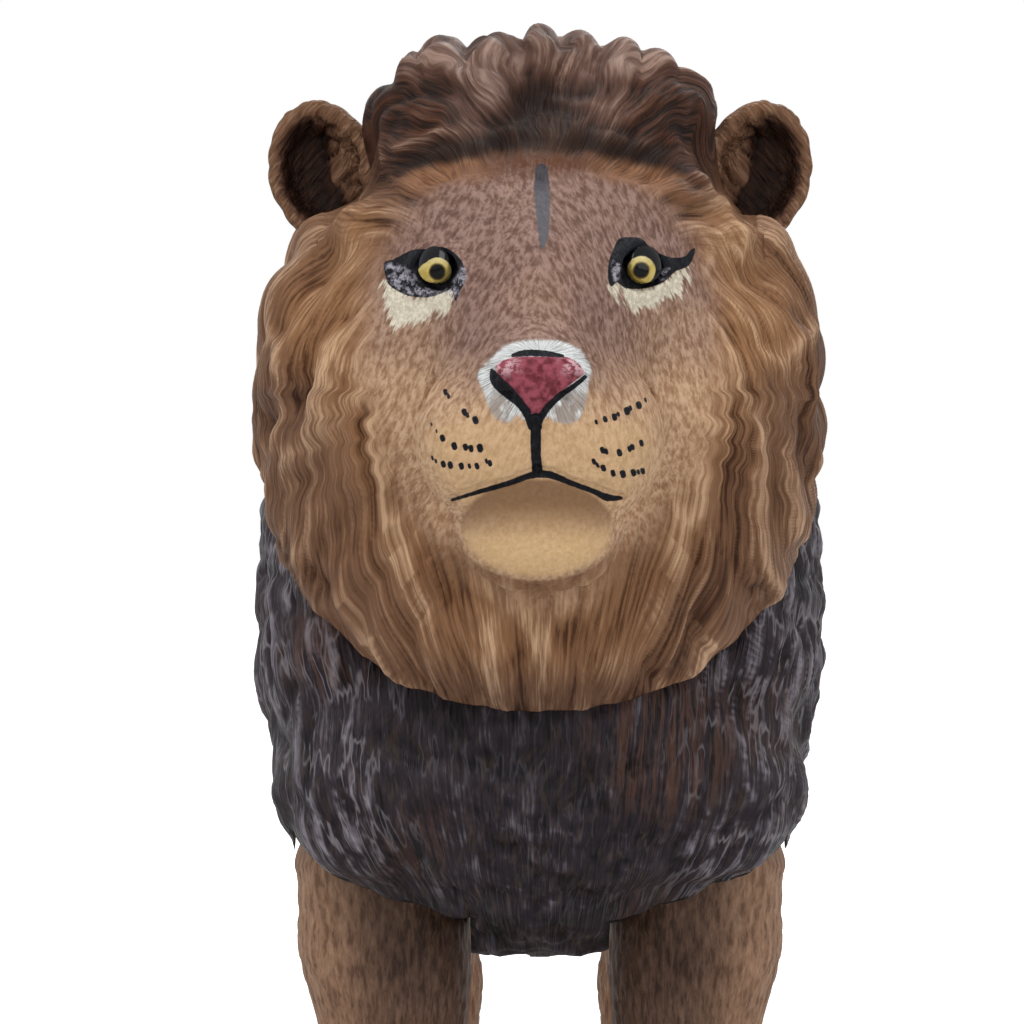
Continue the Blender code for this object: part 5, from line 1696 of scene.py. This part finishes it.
@dataclass
class Torso:
    """The torso's moulding with its hanging mane, its short coat and the pockets that the legs turn in."""

    columns: int = 440
    rows: int = 310
    face_rows: int = 7
    fade_rows: int = 6
    flow_radius: float = 42.0
    coat_radius: float = 36.0
    locks: Comb = field(default_factory=lambda: Comb(70, 91, 1.4, 0.7))
    hang_axis: float = -0.060
    hang_top: float = 0.135
    hang_length: float = 0.075
    hang_draw: float = 0.35
    middle_off: Point = (0.025, 0.011)
    middle_low: Point = (0.100, 0.090)
    chest_off: Point = (0.027, 0.010)
    chest_low: Point = (0.073, 0.064)
    chest_y: Point = (-0.055, -0.070)
    hem_off: Point = (0.0325, 0.0350)
    hem_low: Point = (0.092, 0.077)
    hem_y: Point = (-0.088, -0.080)
    apron_off: Point = (0.024, 0.030)
    apron_low: Point = (0.092, 0.084)
    apron_y: Point = (-0.082, -0.090)
    under: Point = (0.100, 0.084)
    warm: Spot = Spot(125.0, 735.0, 85.0, 90.0, 1.2, 0.5)
    faint_warm: Spot = Spot(-210.0, 650.0, 60.0, 50.0, 1.2, 0.5)

    def __post_init__(self) -> None:
        """Place the forms round the axle of the forelegs."""
        self.centre = np.array((0.0, STANCE.shoulder_y, STANCE.axle_height))
        self.unit = np.array((STANCE.half_width, STANCE.wheelbase, STANCE.half_height))
        self.mane = Forms.paired(self.centre, self.unit, TORSO_MANE_SHARES)
        self.coat = Forms.paired(self.centre, self.unit, TORSO_COAT_SHARES)
        self.forms = self.mane.joined(self.coat)

    def base_skin(self) -> np.ndarray:
        """Rows of points over the flat neck face, past its rim and back to the rump."""
        ends = [self.centre + np.array((0.0, y, z)) * self.unit for y, z in TORSO_SPINE_SHARES]
        front, body, back = 56, 90, 40
        quarter = math.pi / 2.0
        tilts = np.concatenate((np.linspace(quarter, 0.0, front), np.zeros(body - 2), np.linspace(0.0, -quarter, back)))
        shares = np.concatenate((np.zeros(front), np.linspace(0.0, 1.0, body)[1:-1], np.ones(back)))
        turns = all_round(self.columns)
        round_body = triple(np.cos(turns), 0.0, np.sin(turns))
        poles = np.where(tilts[:, None] > 0.0, STANCE.neck_axis, (0.0, -1.0, 0.0))
        ways = unit_vectors(np.cos(tilts)[:, None, None] * round_body + (np.sin(tilts)[:, None] * poles)[:, None])
        starts = np.broadcast_to(ends[0] + (ends[1] - ends[0]) * shares[:, None, None], ways.shape)
        track = starts + ways * self.forms.reach(starts, ways)[..., None]
        rim = first_crossing(((track - STANCE.neck) @ -STANCE.neck_axis) - STANCE.face_gap / 2.0)
        density = 0.55 + 0.6 * ramp(track[..., 1], 0.03, -0.01)
        skin = curve_at(track, spread(track, density, rim, np.full(self.columns, len(track) - 1.35), self.rows))
        edge = skin[0]
        edge -= np.outer((edge - STANCE.neck) @ STANCE.neck_axis + STANCE.face_gap / 2.0, STANCE.neck_axis)
        foot = np.array(STANCE.neck) - STANCE.neck_axis * STANCE.face_gap / 2.0
        inward = (np.arange(1, self.face_rows) / self.face_rows)[:, None, None]
        return np.concatenate((foot + (edge - foot) * inward, skin))

    def hang(self, skin: np.ndarray) -> np.ndarray:
        """Lay the mane out flat, with hair that runs down and draws together towards the chest's middle."""
        around = np.arctan2(skin[..., 0], self.hang_axis - skin[..., 1])
        drop = np.clip((self.hang_top - skin[..., 2]) / self.hang_length, 0.0, 1.0)
        return triple(self.flow_radius * around / (1.0 - self.hang_draw * drop), 0.0, -skin[..., 2] / MM)

    def sculpt(self, skin: np.ndarray) -> tuple[np.ndarray, dict[str, np.ndarray]]:
        """Comb the mane and give the coat its shallow relief.

        Args:
            skin: rows of points of the plain form.

        Returns:
            The sculpted points, and the traits that the paint reads.
        """
        off, z = np.abs(skin[..., 0]), skin[..., 2]
        normals = smoothed(grid_normals(skin, self.centre + np.array((0.0, self.unit[1] / 2.0, 0.0))), 2)
        from_neck = skin - STANCE.neck
        turn = np.arctan2(from_neck[..., 0], from_neck @ STANCE.neck_up)
        arc = run_down(skin, self.face_rows)
        inside = self.coat.value(skin) - self.mane.value(skin)
        mane = ramp(inside + 0.0022 * cloud(skin / 0.005, 21), -0.0008, 0.0022)
        lie = turn - 0.55 * ramp(arc, 0.0, 55.0) * np.sin(turn) * (1.0 - 0.3 * np.cos(turn))
        lie += 0.060 * cloud(skin / 0.0085, 23) + 0.018 * cloud(skin / 0.003, 24)
        flow = wrapped(lie, self.flow_radius, arc)
        waved = flow + 1.2 * cloud(skin / 0.0042, 25)[..., None]
        swept = swept_share(turn)
        sweep = self.hang(skin)
        bent = sweep.copy()
        bent[..., 0] += 1.3 * cloud(skin / 0.008, 81) + 0.6 * cloud(skin / 0.0032, 82)
        lock, chance = self.locks.locks(lie / (2.0 * math.pi) * self.locks.cells, arc / 8.0)
        across = bent[..., 0] / (2.0 * math.pi * self.flow_radius) * self.locks.cells
        lock = blend(swept, lock, self.locks.locks(across, bent[..., 2] / 9.0)[0])
        curly = flow * np.array((1.0, 1.0, 0.8)) + 1.6 * cloud(skin / 0.0045, 31)[..., None]
        curly += 1.2 * cloud(skin / 0.0021, 32)[..., None] * np.array((1.0, 0.3, -1.0))
        middle = ramp(off, *self.middle_off) * ramp(z, *self.middle_low)
        bundle = blend(swept, tresses(waved, 2.7, 7.0, 26), tresses(bent, 2.7, 8.0, 83))
        strand = blend(swept, tresses(waved, 1.4, 3.6, 28), tresses(bent, 1.4, 4.5, 84))
        wisp = blend(swept, wisps(waved, 3.0, 8.0, 30), ridges(bent, 3.2, 9.0, 85))
        bundle = blend(middle, bundle, tresses(curly, 2.6, 3.6, 33))
        strand = blend(middle, strand, tresses(curly, 1.5, 2.2, 34))
        wisp = blend(middle, wisp, 0.6 * wisps(curly, 2.6, 4.0, 35))
        tufts = 1.25 * bundle + 0.55 * strand + 0.45 * lock + 0.6 * wisp
        tall = 0.24 * bundle + 0.20 * strand + 0.12 * lock + 0.30 * wisp
        # painted highlight: the ridges turn lighter towards the sides of the chest
        tall = np.clip(tall * (0.90 + 0.24 * ramp(off, 0.016, 0.034)), 0.0, 1.0)
        rise = smoothed(mane * (tufts - 1.75) + MAIN_LOCKS.on_torso(skin, inside), 1) + self.hem(skin, mane)
        coat_turn = np.arctan2(skin[..., 0], z - self.centre[2])
        coat_flow = wrapped(coat_turn, self.coat_radius, skin[..., 1] / MM)
        rise -= (1.0 - mane) * 0.20 * (1.0 - tresses(coat_flow, 1.0, 3.6, 29))
        hold = np.ones(len(skin))
        hold[: self.face_rows] = 0.0
        hold[self.face_rows - 1: self.face_rows + self.fade_rows - 1] = np.linspace(0.0, 1.0, self.fade_rows)
        points = skin + unit_vectors(normals) * (rise * hold[:, None] * MM)[..., None]
        over = np.maximum((points - STANCE.neck) @ STANCE.neck_axis + STANCE.face_gap / 2.0, 0.0)
        points -= over[..., None] * STANCE.neck_axis
        column, row = LENS.pixels(points)
        right = column - LENS.middle[0]
        warm = np.maximum(self.warm.cover(right, row), 0.8 * self.faint_warm.cover(right, row))
        warm = np.maximum(warm, 0.5 * ramp(cloud(points / 0.016, 27), 0.2, 0.7))
        traits = {
            "flow": np.where(mane[..., None] > 0.5, flow, coat_flow),
            "sweep": sweep,
            "lock": triple(swept * mane, chance, tall),
            "zone": triple(1.0 - mane, warm, ramp(points[..., 2], *self.under)),
        }
        return points, traits

    def hem(self, skin: np.ndarray, mane: np.ndarray) -> np.ndarray:
        """Push the low chest and the apron before the legs forward, and draw the hem in at the sides.

        Args:
            skin: rows of points of the plain form.
            mane: how much each point belongs to the mane.

        Returns:
            The height to add, in millimetres.
        """
        off, y, z = np.abs(skin[..., 0]), skin[..., 1], skin[..., 2]
        chest, apron, hem = (
            ramp(off, *sides) * ramp(z, *low) * ramp(y, *depth)
            for sides, low, depth in (
                (self.chest_off, self.chest_low, self.chest_y),
                (self.apron_off, self.apron_low, self.apron_y),
                (self.hem_off, self.hem_low, self.hem_y),
            )
        )
        return 1.4 * chest + (1.1 * apron - 5.0 * hem) * mane

    def build(self, material: bpy.types.Material, legs: list["Leg"]) -> None:
        """Make the skin and cut the legs' pockets into it.

        Args:
            material: the torso's paint.
            legs: both kinds of leg, which know what they sweep.
        """
        points, traits = self.sculpt(self.base_skin())
        made = skin_object("torso_skin", points, traits)
        for leg in legs:
            outer = STANCE.leg_centre + STANCE.leg_half_width + STANCE.swing_gap
            if leg.kind is Kind.HIND:
                outer = 2.0 * STANCE.half_width
            for side in Side:
                block = prism(leg.swept(STANCE.swing_gap), side.value * STANCE.leg_seat, side.value * outer)
                cut = made.modifiers.new("pocket", "BOOLEAN")
                cut.operation = "DIFFERENCE"
                cut.solver = "MANIFOLD"
                cut.object = block
                apply_modifiers(made)
                bpy.data.objects.remove(block)
        fit_for(made, "torso", "body_vinyl", material, "torso")


def apply_modifiers(made: bpy.types.Object) -> None:
    """Turn an object's modifiers into its mesh."""
    bpy.context.view_layer.update()
    ready = made.evaluated_get(bpy.context.evaluated_depsgraph_get())
    mesh = bpy.data.meshes.new_from_object(ready)
    made.modifiers.clear()
    made.data = mesh


def prism(outline: np.ndarray, low_x: float, high_x: float) -> bpy.types.Object:
    """Make a block with an outline in the YZ plane, between two values of X."""
    count = len(outline)
    ends = [np.column_stack((np.full(count, x), outline)) for x in (low_x, high_x)]
    sides = [(k, (k + 1) % count, count + (k + 1) % count, count + k) for k in range(count)]
    caps = [tuple(range(count))[::-1], tuple(range(count, 2 * count))]
    return face_outwards(make_object("pocket_block", np.concatenate(ends), sides + caps, {}))


@dataclass
class Leg:
    """One kind of leg, made for both sides, with its paw and claws."""

    kind: Kind
    axle_y: float
    radius: float
    top_shares: Point
    shares: tuple[Share, ...]
    spine_shares: tuple[Point, ...]
    paw_share: float
    pocket_share: float
    columns: int = 148
    rows: int = 224
    shaft_rows: int = 96
    top_rows: int = 24
    flow_radius: float = 12.0
    bulge: float = 2.5
    bulge_heights: tuple[Point, Point] = ((0.048, 0.063), (0.080, 0.073))
    inner_turn: float = math.radians(215.0)
    inner_dark: Point = (0.018, 0.055)
    top_dark: Point = (0.068, 0.084)
    pale: Point = (0.022, 0.008)
    sweep_steps: int = 3
    sweep_corners: int = 28
    claw_rows: int = 9
    claw_columns: int = 14
    claw_length: float = 2.6
    claw_droop: float = 1.5
    claw_radius: float = 0.95

    def __post_init__(self) -> None:
        """Place the forms of the left leg and find its plain skin."""
        half = STANCE.leg_half_width
        base = np.array((STANCE.leg_centre, self.axle_y, 0.0))
        self.paw_base = base + np.array((0.0, self.paw_share * self.radius, 0.0))
        self.paw_unit = np.array((half, STANCE.paw_half_length, STANCE.axle_height))
        top = ((self.top_shares[0], 0.0, 1.0), (self.top_shares[1], 1.0, self.radius / STANCE.axle_height))
        unit = np.array((half, self.radius, STANCE.axle_height))
        forms = [(base, unit, form) for form in (*self.shares, top)]
        forms += [(self.paw_base, self.paw_unit, form) for form in PAW_FORM_SHARES]
        places = [start + np.array(place) * scale for start, scale, (place, _) in forms]
        sizes = [np.array(size) * scale for _, scale, (_, size) in forms]
        self.forms = Forms(np.array(places), np.array(sizes), 0.0013)
        self.skin = self.base_skin()

    def spine(self, heights: np.ndarray) -> np.ndarray:
        """Where the leg's middle lies along Y at each height."""
        return self.axle_y + table_at(self.spine_shares, heights / STANCE.axle_height) * self.radius

    def base_skin(self) -> np.ndarray:
        """Rows of points from the sole to the round top, flat where the leg lies against the torso."""
        top = STANCE.axle_height
        heights = np.concatenate((np.linspace(0.0, top, self.shaft_rows), np.full(self.top_rows, top)))
        bend = np.linspace(0.0, math.pi / 2.0, self.top_rows + 2)[1:-1]
        tilts = np.concatenate((np.zeros(self.shaft_rows), bend))
        ways = rings(np.cos(tilts), np.sin(tilts), all_round(self.columns))
        centres = triple(STANCE.leg_centre, self.spine(heights), heights)
        starts = np.broadcast_to(centres[:, None, :], ways.shape)
        track = starts + ways * self.forms.reach(starts, ways)[..., None]
        none = np.zeros(self.columns)
        skin = curve_at(track, spread(track, np.ones(track.shape[:2]), none, none + len(track) - 1.0, self.rows))
        skin[..., 2] = np.maximum(skin[..., 2], 0.0)
        return skin

    def swept(self, grow: float) -> np.ndarray:
        """Outline in the YZ plane of what the top of the leg sweeps as it swings.

        Args:
            grow: room to leave around it.

        Returns:
            The corners of the outline.
        """
        flat = self.skin.reshape(-1, 3)
        upper = flat[flat[:, 2] >= STANCE.axle_height * (1.0 - self.pocket_share)][:, 1:]
        middle = np.array((self.axle_y, STANCE.axle_height))
        swung = []
        for step in range(-self.sweep_steps, self.sweep_steps + 1):
            turn = STANCE.swing * step / self.sweep_steps
            matrix = np.array(((math.cos(turn), -math.sin(turn)), (math.sin(turn), math.cos(turn))))
            swung.append((upper - middle) @ matrix.T)
        turns = all_round(self.sweep_corners, 0.0)
        normals = np.stack((np.cos(turns), np.sin(turns)), -1)
        heights = (np.concatenate(swung) @ normals.T).max(axis=0) + grow
        pairs = ([step, (step + 1) % self.sweep_corners] for step in range(self.sweep_corners))
        return np.array([np.linalg.solve(normals[pair], heights[pair]) for pair in pairs]) + middle

    def sculpt(self) -> tuple[np.ndarray, dict[str, np.ndarray]]:
        """Give the left leg its short fur.

        Returns:
            The sculpted points, and the traits that the paint reads.
        """
        skin = self.skin
        heights = skin[..., 2]
        middles = self.spine(heights)
        turn = np.arctan2(skin[..., 1] - middles, skin[..., 0] - STANCE.leg_centre)
        heart = triple(STANCE.leg_centre, middles, heights).mean(axis=(0, 1))
        normals = unit_vectors(smoothed(grid_normals(skin, heart), 1))
        flow = wrapped(turn, self.flow_radius, -heights / MM)
        waved = flow + 0.5 * cloud(flow / 5.0, 41)[..., None]
        dents = np.abs(cloud(waved * np.array((1.15, 1.15, 0.5)), 43))
        rise = -0.26 * (1.0 - ramp(dents, 0.0, 0.5)) * ramp(heights, 0.0, 0.002)
        if self.kind is Kind.FORE:
            rise += self.bulge * ramp(np.cos(turn), -0.2, 0.8) * band(heights, *self.bulge_heights)
        points = skin + normals * (rise * MM)[..., None]
        points[..., 0] = np.maximum(points[..., 0], STANCE.leg_seat + STANCE.face_gap)
        inner = ramp(np.cos(turn - self.inner_turn), -0.25, 0.65)
        dark = inner * ramp(heights, *self.inner_dark) * 0.95 + 0.9 * ramp(heights, *self.top_dark)
        dark = np.clip(dark + 0.08 * cloud(points / 0.006, 47), 0.0, 1.0)
        if self.kind is Kind.HIND:
            dark *= 0.12
        return points, {"flow": flow, "zone": triple(dark, ramp(heights, *self.pale), 0.0)}

    def build(self, coat: bpy.types.Material, horn: bpy.types.Material) -> None:
        """Make the left and the right leg.

        Args:
            coat: paint of the fur.
            horn: paint of the claws.
        """
        points, traits = self.sculpt()
        for side in Side:
            name = f"{self.kind.value}_{side.name.lower()}"
            fit_for(skin_object(f"{name}_skin", points * side.mirror, traits), name, "leg_vinyl", coat, name)
            fit_for(self.claws(f"{name}_claws", side), name, "leg_vinyl", horn)

    def claws(self, name: str, side: Side) -> bpy.types.Object:
        """Make the four short claws of a paw.

        Args:
            name: the piece's name.
            side: the leg's side.

        Returns:
            The claws as one object.
        """
        rows, columns = self.claw_rows, self.claw_columns
        shares = np.arange(rows) / (rows - 1)
        radii = self.claw_radius * MM * np.sqrt(np.maximum(1.0 - shares**1.6, 0.004))
        curve = triple(0.0, -self.claw_length * shares, -self.claw_droop * shares * shares) * MM
        turns = all_round(columns, 0.0)
        oval = triple(0.62 * np.cos(turns), 0.25 * np.sin(turns), np.sin(turns))
        claw = curve[:, None] + oval * radii[:, None, None]
        points, faces = [], []
        for place, size in PAW_FORM_SHARES[1:]:
            toe = self.paw_base + np.array(place) * self.paw_unit
            root = toe + np.array((0.0, -0.86 * size[1], 0.30 * size[2])) * self.paw_unit
            base = len(points) * rows * columns
            points.append(root + claw)
            faces += grid_quads(rows, columns, base)
            faces.append(tuple(range(base + columns - 1, base - 1, -1)))
            faces.append(tuple(range(base + (rows - 1) * columns, base + rows * columns)))
        return make_object(name, np.array(points) * side.mirror, faces, {})


@dataclass
class Tail:
    """The hanging tail with its dark tuft."""

    root_radius: float = 0.0058
    tuft_radius: float = 0.0070
    reach: float = 0.0285
    drop: float = 0.095
    slope: float = math.radians(27.0)
    rows: int = 230
    columns: int = 72
    flow_radius: float = 5.0
    tuft_start: Point = (0.68, 0.78)
    dark_start: Point = (0.66, 0.76)
    bushy_start: float = 0.70
    locks: Comb = field(default_factory=lambda: Comb(13, 131, 0.9, 0.7))

    def line(self, torso: Torso) -> tuple[np.ndarray, np.ndarray]:
        """Find the tail's middle line from where it leaves the rump.

        Args:
            torso: the torso, whose skin the tail leaves.

        Returns:
            The line's points, and the way ahead at each of them.
        """
        way = np.array((0.0, math.cos(self.slope), math.sin(self.slope)))
        start = torso.centre + np.array((0.0, *TORSO_SPINE_SHARES[1])) * torso.unit
        root = start + way * (torso.forms.reach(start[None], way[None])[0] - STANCE.wall / 2.0)
        corners = [root + way * STANCE.face_gap / 2.0]
        for along, drop in TAIL_BEND_SHARES:
            corners.append(corners[0] + np.array((0.0, along * self.reach, drop * self.drop)))
        a, b, c, d = (corner[None] for corner in corners)
        places = self.places()[:, None]
        rest = 1.0 - places
        line = rest**3 * a + 3 * rest**2 * places * b + 3 * rest * places**2 * c + places**3 * d
        ahead = rest**2 * (b - a) + 2 * rest * places * (c - b) + places**2 * (d - c)
        ahead[0] = way
        return line, unit_vectors(ahead)

    def places(self) -> np.ndarray:
        """Share of the tail's length for each row."""
        return np.linspace(0.0, 0.996, self.rows)

    def radii(self) -> np.ndarray:
        """Radius for each row, evened out where the tuft begins."""
        places = self.places()
        thick = table_at(TAIL_THICKNESS_SHARES, places) * self.root_radius
        bushy = table_at(TUFT_THICKNESS_SHARES, places) * self.tuft_radius
        return np.convolve(
            np.pad(np.where(places < self.bushy_start, thick, bushy), 4, mode="edge"), np.ones(9) / 9.0, mode="valid"
        )

    def build(self, torso: Torso, material: bpy.types.Material) -> None:
        """Make the tail.

        Args:
            torso: the torso, whose skin the tail leaves.
            material: paint of the fur.
        """
        line, ahead = self.line(torso)
        turns, arc = all_round(self.columns, 0.0), run_down(line)
        angle, long = np.broadcast_arrays(turns, arc[:, None])
        height, _ = self.locks.locks(angle / (2.0 * math.pi) * self.locks.cells, long / 11.0)
        fur = wrapped(angle, self.flow_radius, long)
        dents = 1.0 - ramp(np.abs(cloud(fur * np.array((1.2, 1.2, 0.35)), 61)), 0.0, 0.5)
        tuft = ramp(self.places()[:, None], *self.tuft_start)
        rise = blend(tuft, -0.22 * dents, 1.5 * height - 0.9) * ramp(long, 0.0, 3.0) * MM
        across = np.array((1.0, 0.0, 0.0))
        up = np.cross(ahead, across)[:, None]
        ring = np.cos(turns)[:, None] * across + np.sin(turns)[:, None] * up
        points = line[:, None] + (self.radii()[:, None] + rise)[..., None] * ring
        dark = ramp(long + 3.0 * cloud(fur / 4.0, 67), *(arc[-1] * share for share in self.dark_start))
        traits = {"flow": fur, "zone": triple(dark, 0.0, 0.0)}
        fit_for(skin_object("tail_skin", points, traits), "tail", "body_vinyl", material, "tail")


@dataclass(frozen=True)
class Lamp:
    """A soft box: where it hangs, its size and its power."""

    name: str
    place: tuple[float, float, float]
    size: float
    power: float


@dataclass
class Studio:
    """Pale floor, soft light and the camera."""

    lamps: tuple[Lamp, ...] = (
        Lamp("key_light", (-0.50, -0.95, 0.95), 0.60, 7.0),
        Lamp("fill_light", (0.75, -0.85, 0.45), 0.70, 3.0),
        Lamp("top_light", (0.05, 0.10, 1.10), 0.70, 4.0),
        Lamp("back_light", (0.35, 1.00, 0.80), 0.70, 3.4),
    )
    aim: tuple[float, float, float] = (0.0, -0.05, 0.11)
    floor_near: float = 260.0
    floor_far: float = 620.0
    floor_half: float = 8.0
    room_light: float = 0.36

    def build(self) -> None:
        """Set up the floor, the world, the lamps and the camera."""
        scene = bpy.context.scene
        scene.view_settings.view_transform = "Standard"
        self.floor()
        self.world(scene)
        for lamp in self.lamps:
            data = bpy.data.lights.new(lamp.name, "AREA")
            data.size, data.energy = lamp.size, lamp.power
            made = bpy.data.objects.new(lamp.name, data)
            made.location = lamp.place
            made.rotation_euler = (Vector(self.aim) - Vector(lamp.place)).to_track_quat("-Z", "Y").to_euler()
            scene.collection.objects.link(made)
        lens = bpy.data.cameras.new("camera")
        lens.sensor_width = 36.0
        lens.lens = LENS.focal / LENS.frame * lens.sensor_width
        lens.shift_x = (LENS.frame / 2.0 - LENS.middle[0]) / LENS.frame
        lens.clip_start, lens.clip_end = 0.01, 20.0
        camera = bpy.data.objects.new("camera", lens)
        camera.location = (0.0, -LENS.distance, LENS.height)
        camera.rotation_euler = (math.pi / 2.0, 0.0, 0.0)
        scene.collection.objects.link(camera)
        scene.camera = camera

    def floor(self) -> None:
        """Make the pale floor, which shows white to the camera and keeps the shadow."""
        mesh = bpy.data.meshes.new("floor")
        corners = [(x * self.floor_half, y * self.floor_half, 0.0) for x, y in ((-1, -1), (1, -1), (1, 1), (-1, 1))]
        mesh.from_pydata(corners, [], [(0, 1, 2, 3)])
        made = bpy.data.objects.new("floor", mesh)
        bpy.context.scene.collection.objects.link(made)
        paint = Paint("floor")
        seen = paint.node("ShaderNodeLightPath", {}, {}, "Is Camera Ray")
        x, y, _ = paint.place().parts()
        far = (x * x + y * y).math("SQRT").span(self.floor_near, self.floor_far)
        glow = paint.mix(seen, (0.0, 0.0, 0.0), paint.mix(far, (0.30, 0.30, 0.30), (1.0, 1.0, 1.0)))
        looks = {
            "Base Color": (0.80, 0.80, 0.80, 1.0), "Roughness": 0.9, "Emission Strength": 1.0, "Emission Color": glow,
        }
        for label, value in looks.items():
            paint.give(paint.shader.inputs[label], value)
        mesh.materials.append(paint.material)

    def world(self, scene: bpy.types.Scene) -> None:
        """Light the room evenly, and show white where nothing stands."""
        world = bpy.data.worlds.new("studio")
        scene.world = world
        world.use_nodes = True
        nodes = Nodes(world.node_tree)
        rays = ("Is Camera Ray", "Is Glossy Ray", "Is Transmission Ray")
        seen, mirrored, through = nodes.outputs("ShaderNodeLightPath", {}, *rays)
        bright = seen.math("MAXIMUM", mirrored).math("MAXIMUM", through)
        level = nodes.node("ShaderNodeMapRange", {}, {"Value": bright, "To Min": self.room_light})
        backdrop = nodes.tree.nodes["Background"]
        nodes.give(backdrop.inputs["Strength"], level)
        nodes.give(backdrop.inputs["Color"], (1.0, 1.0, 1.0, 1.0))


def fore_and_hind() -> list[Leg]:
    """The two kinds of leg with their own sizes."""
    return [
        Leg(
            Kind.FORE, STANCE.shoulder_y, 0.0185, (-0.52, 1.48), FORELEG_FORM_SHARES, FORELEG_SPINE_SHARES, -0.30, 0.58
        ),
        Leg(
            Kind.HIND, STANCE.hip_y, 0.0240, (-0.62, 1.60), HINDLEG_FORM_SHARES, HINDLEG_SPINE_SHARES, -0.05, 0.45
        ),
    ]


def main() -> None:
    """Build the figure over its frame, and the studio round it."""
    coat, horn = coat_material(), horn_material()
    legs = fore_and_hind()
    torso = Torso()
    torso.build(torso_material(), legs)
    Head().build(head_material())
    for leg in legs:
        leg.build(coat, horn)
    Tail().build(torso, coat)
    plastic = plug_material()
    for name, node in frame["nodes"].items():
        if name.endswith("plug"):
            node.data.materials.clear()
            node.data.materials.append(plastic)
            log.info("%s: packed part, moulded plastic", name)
    Studio().build()


if __name__ == "__main__":
    logging.basicConfig(level=logging.INFO, format="%(name)s: %(message)s")
    main()
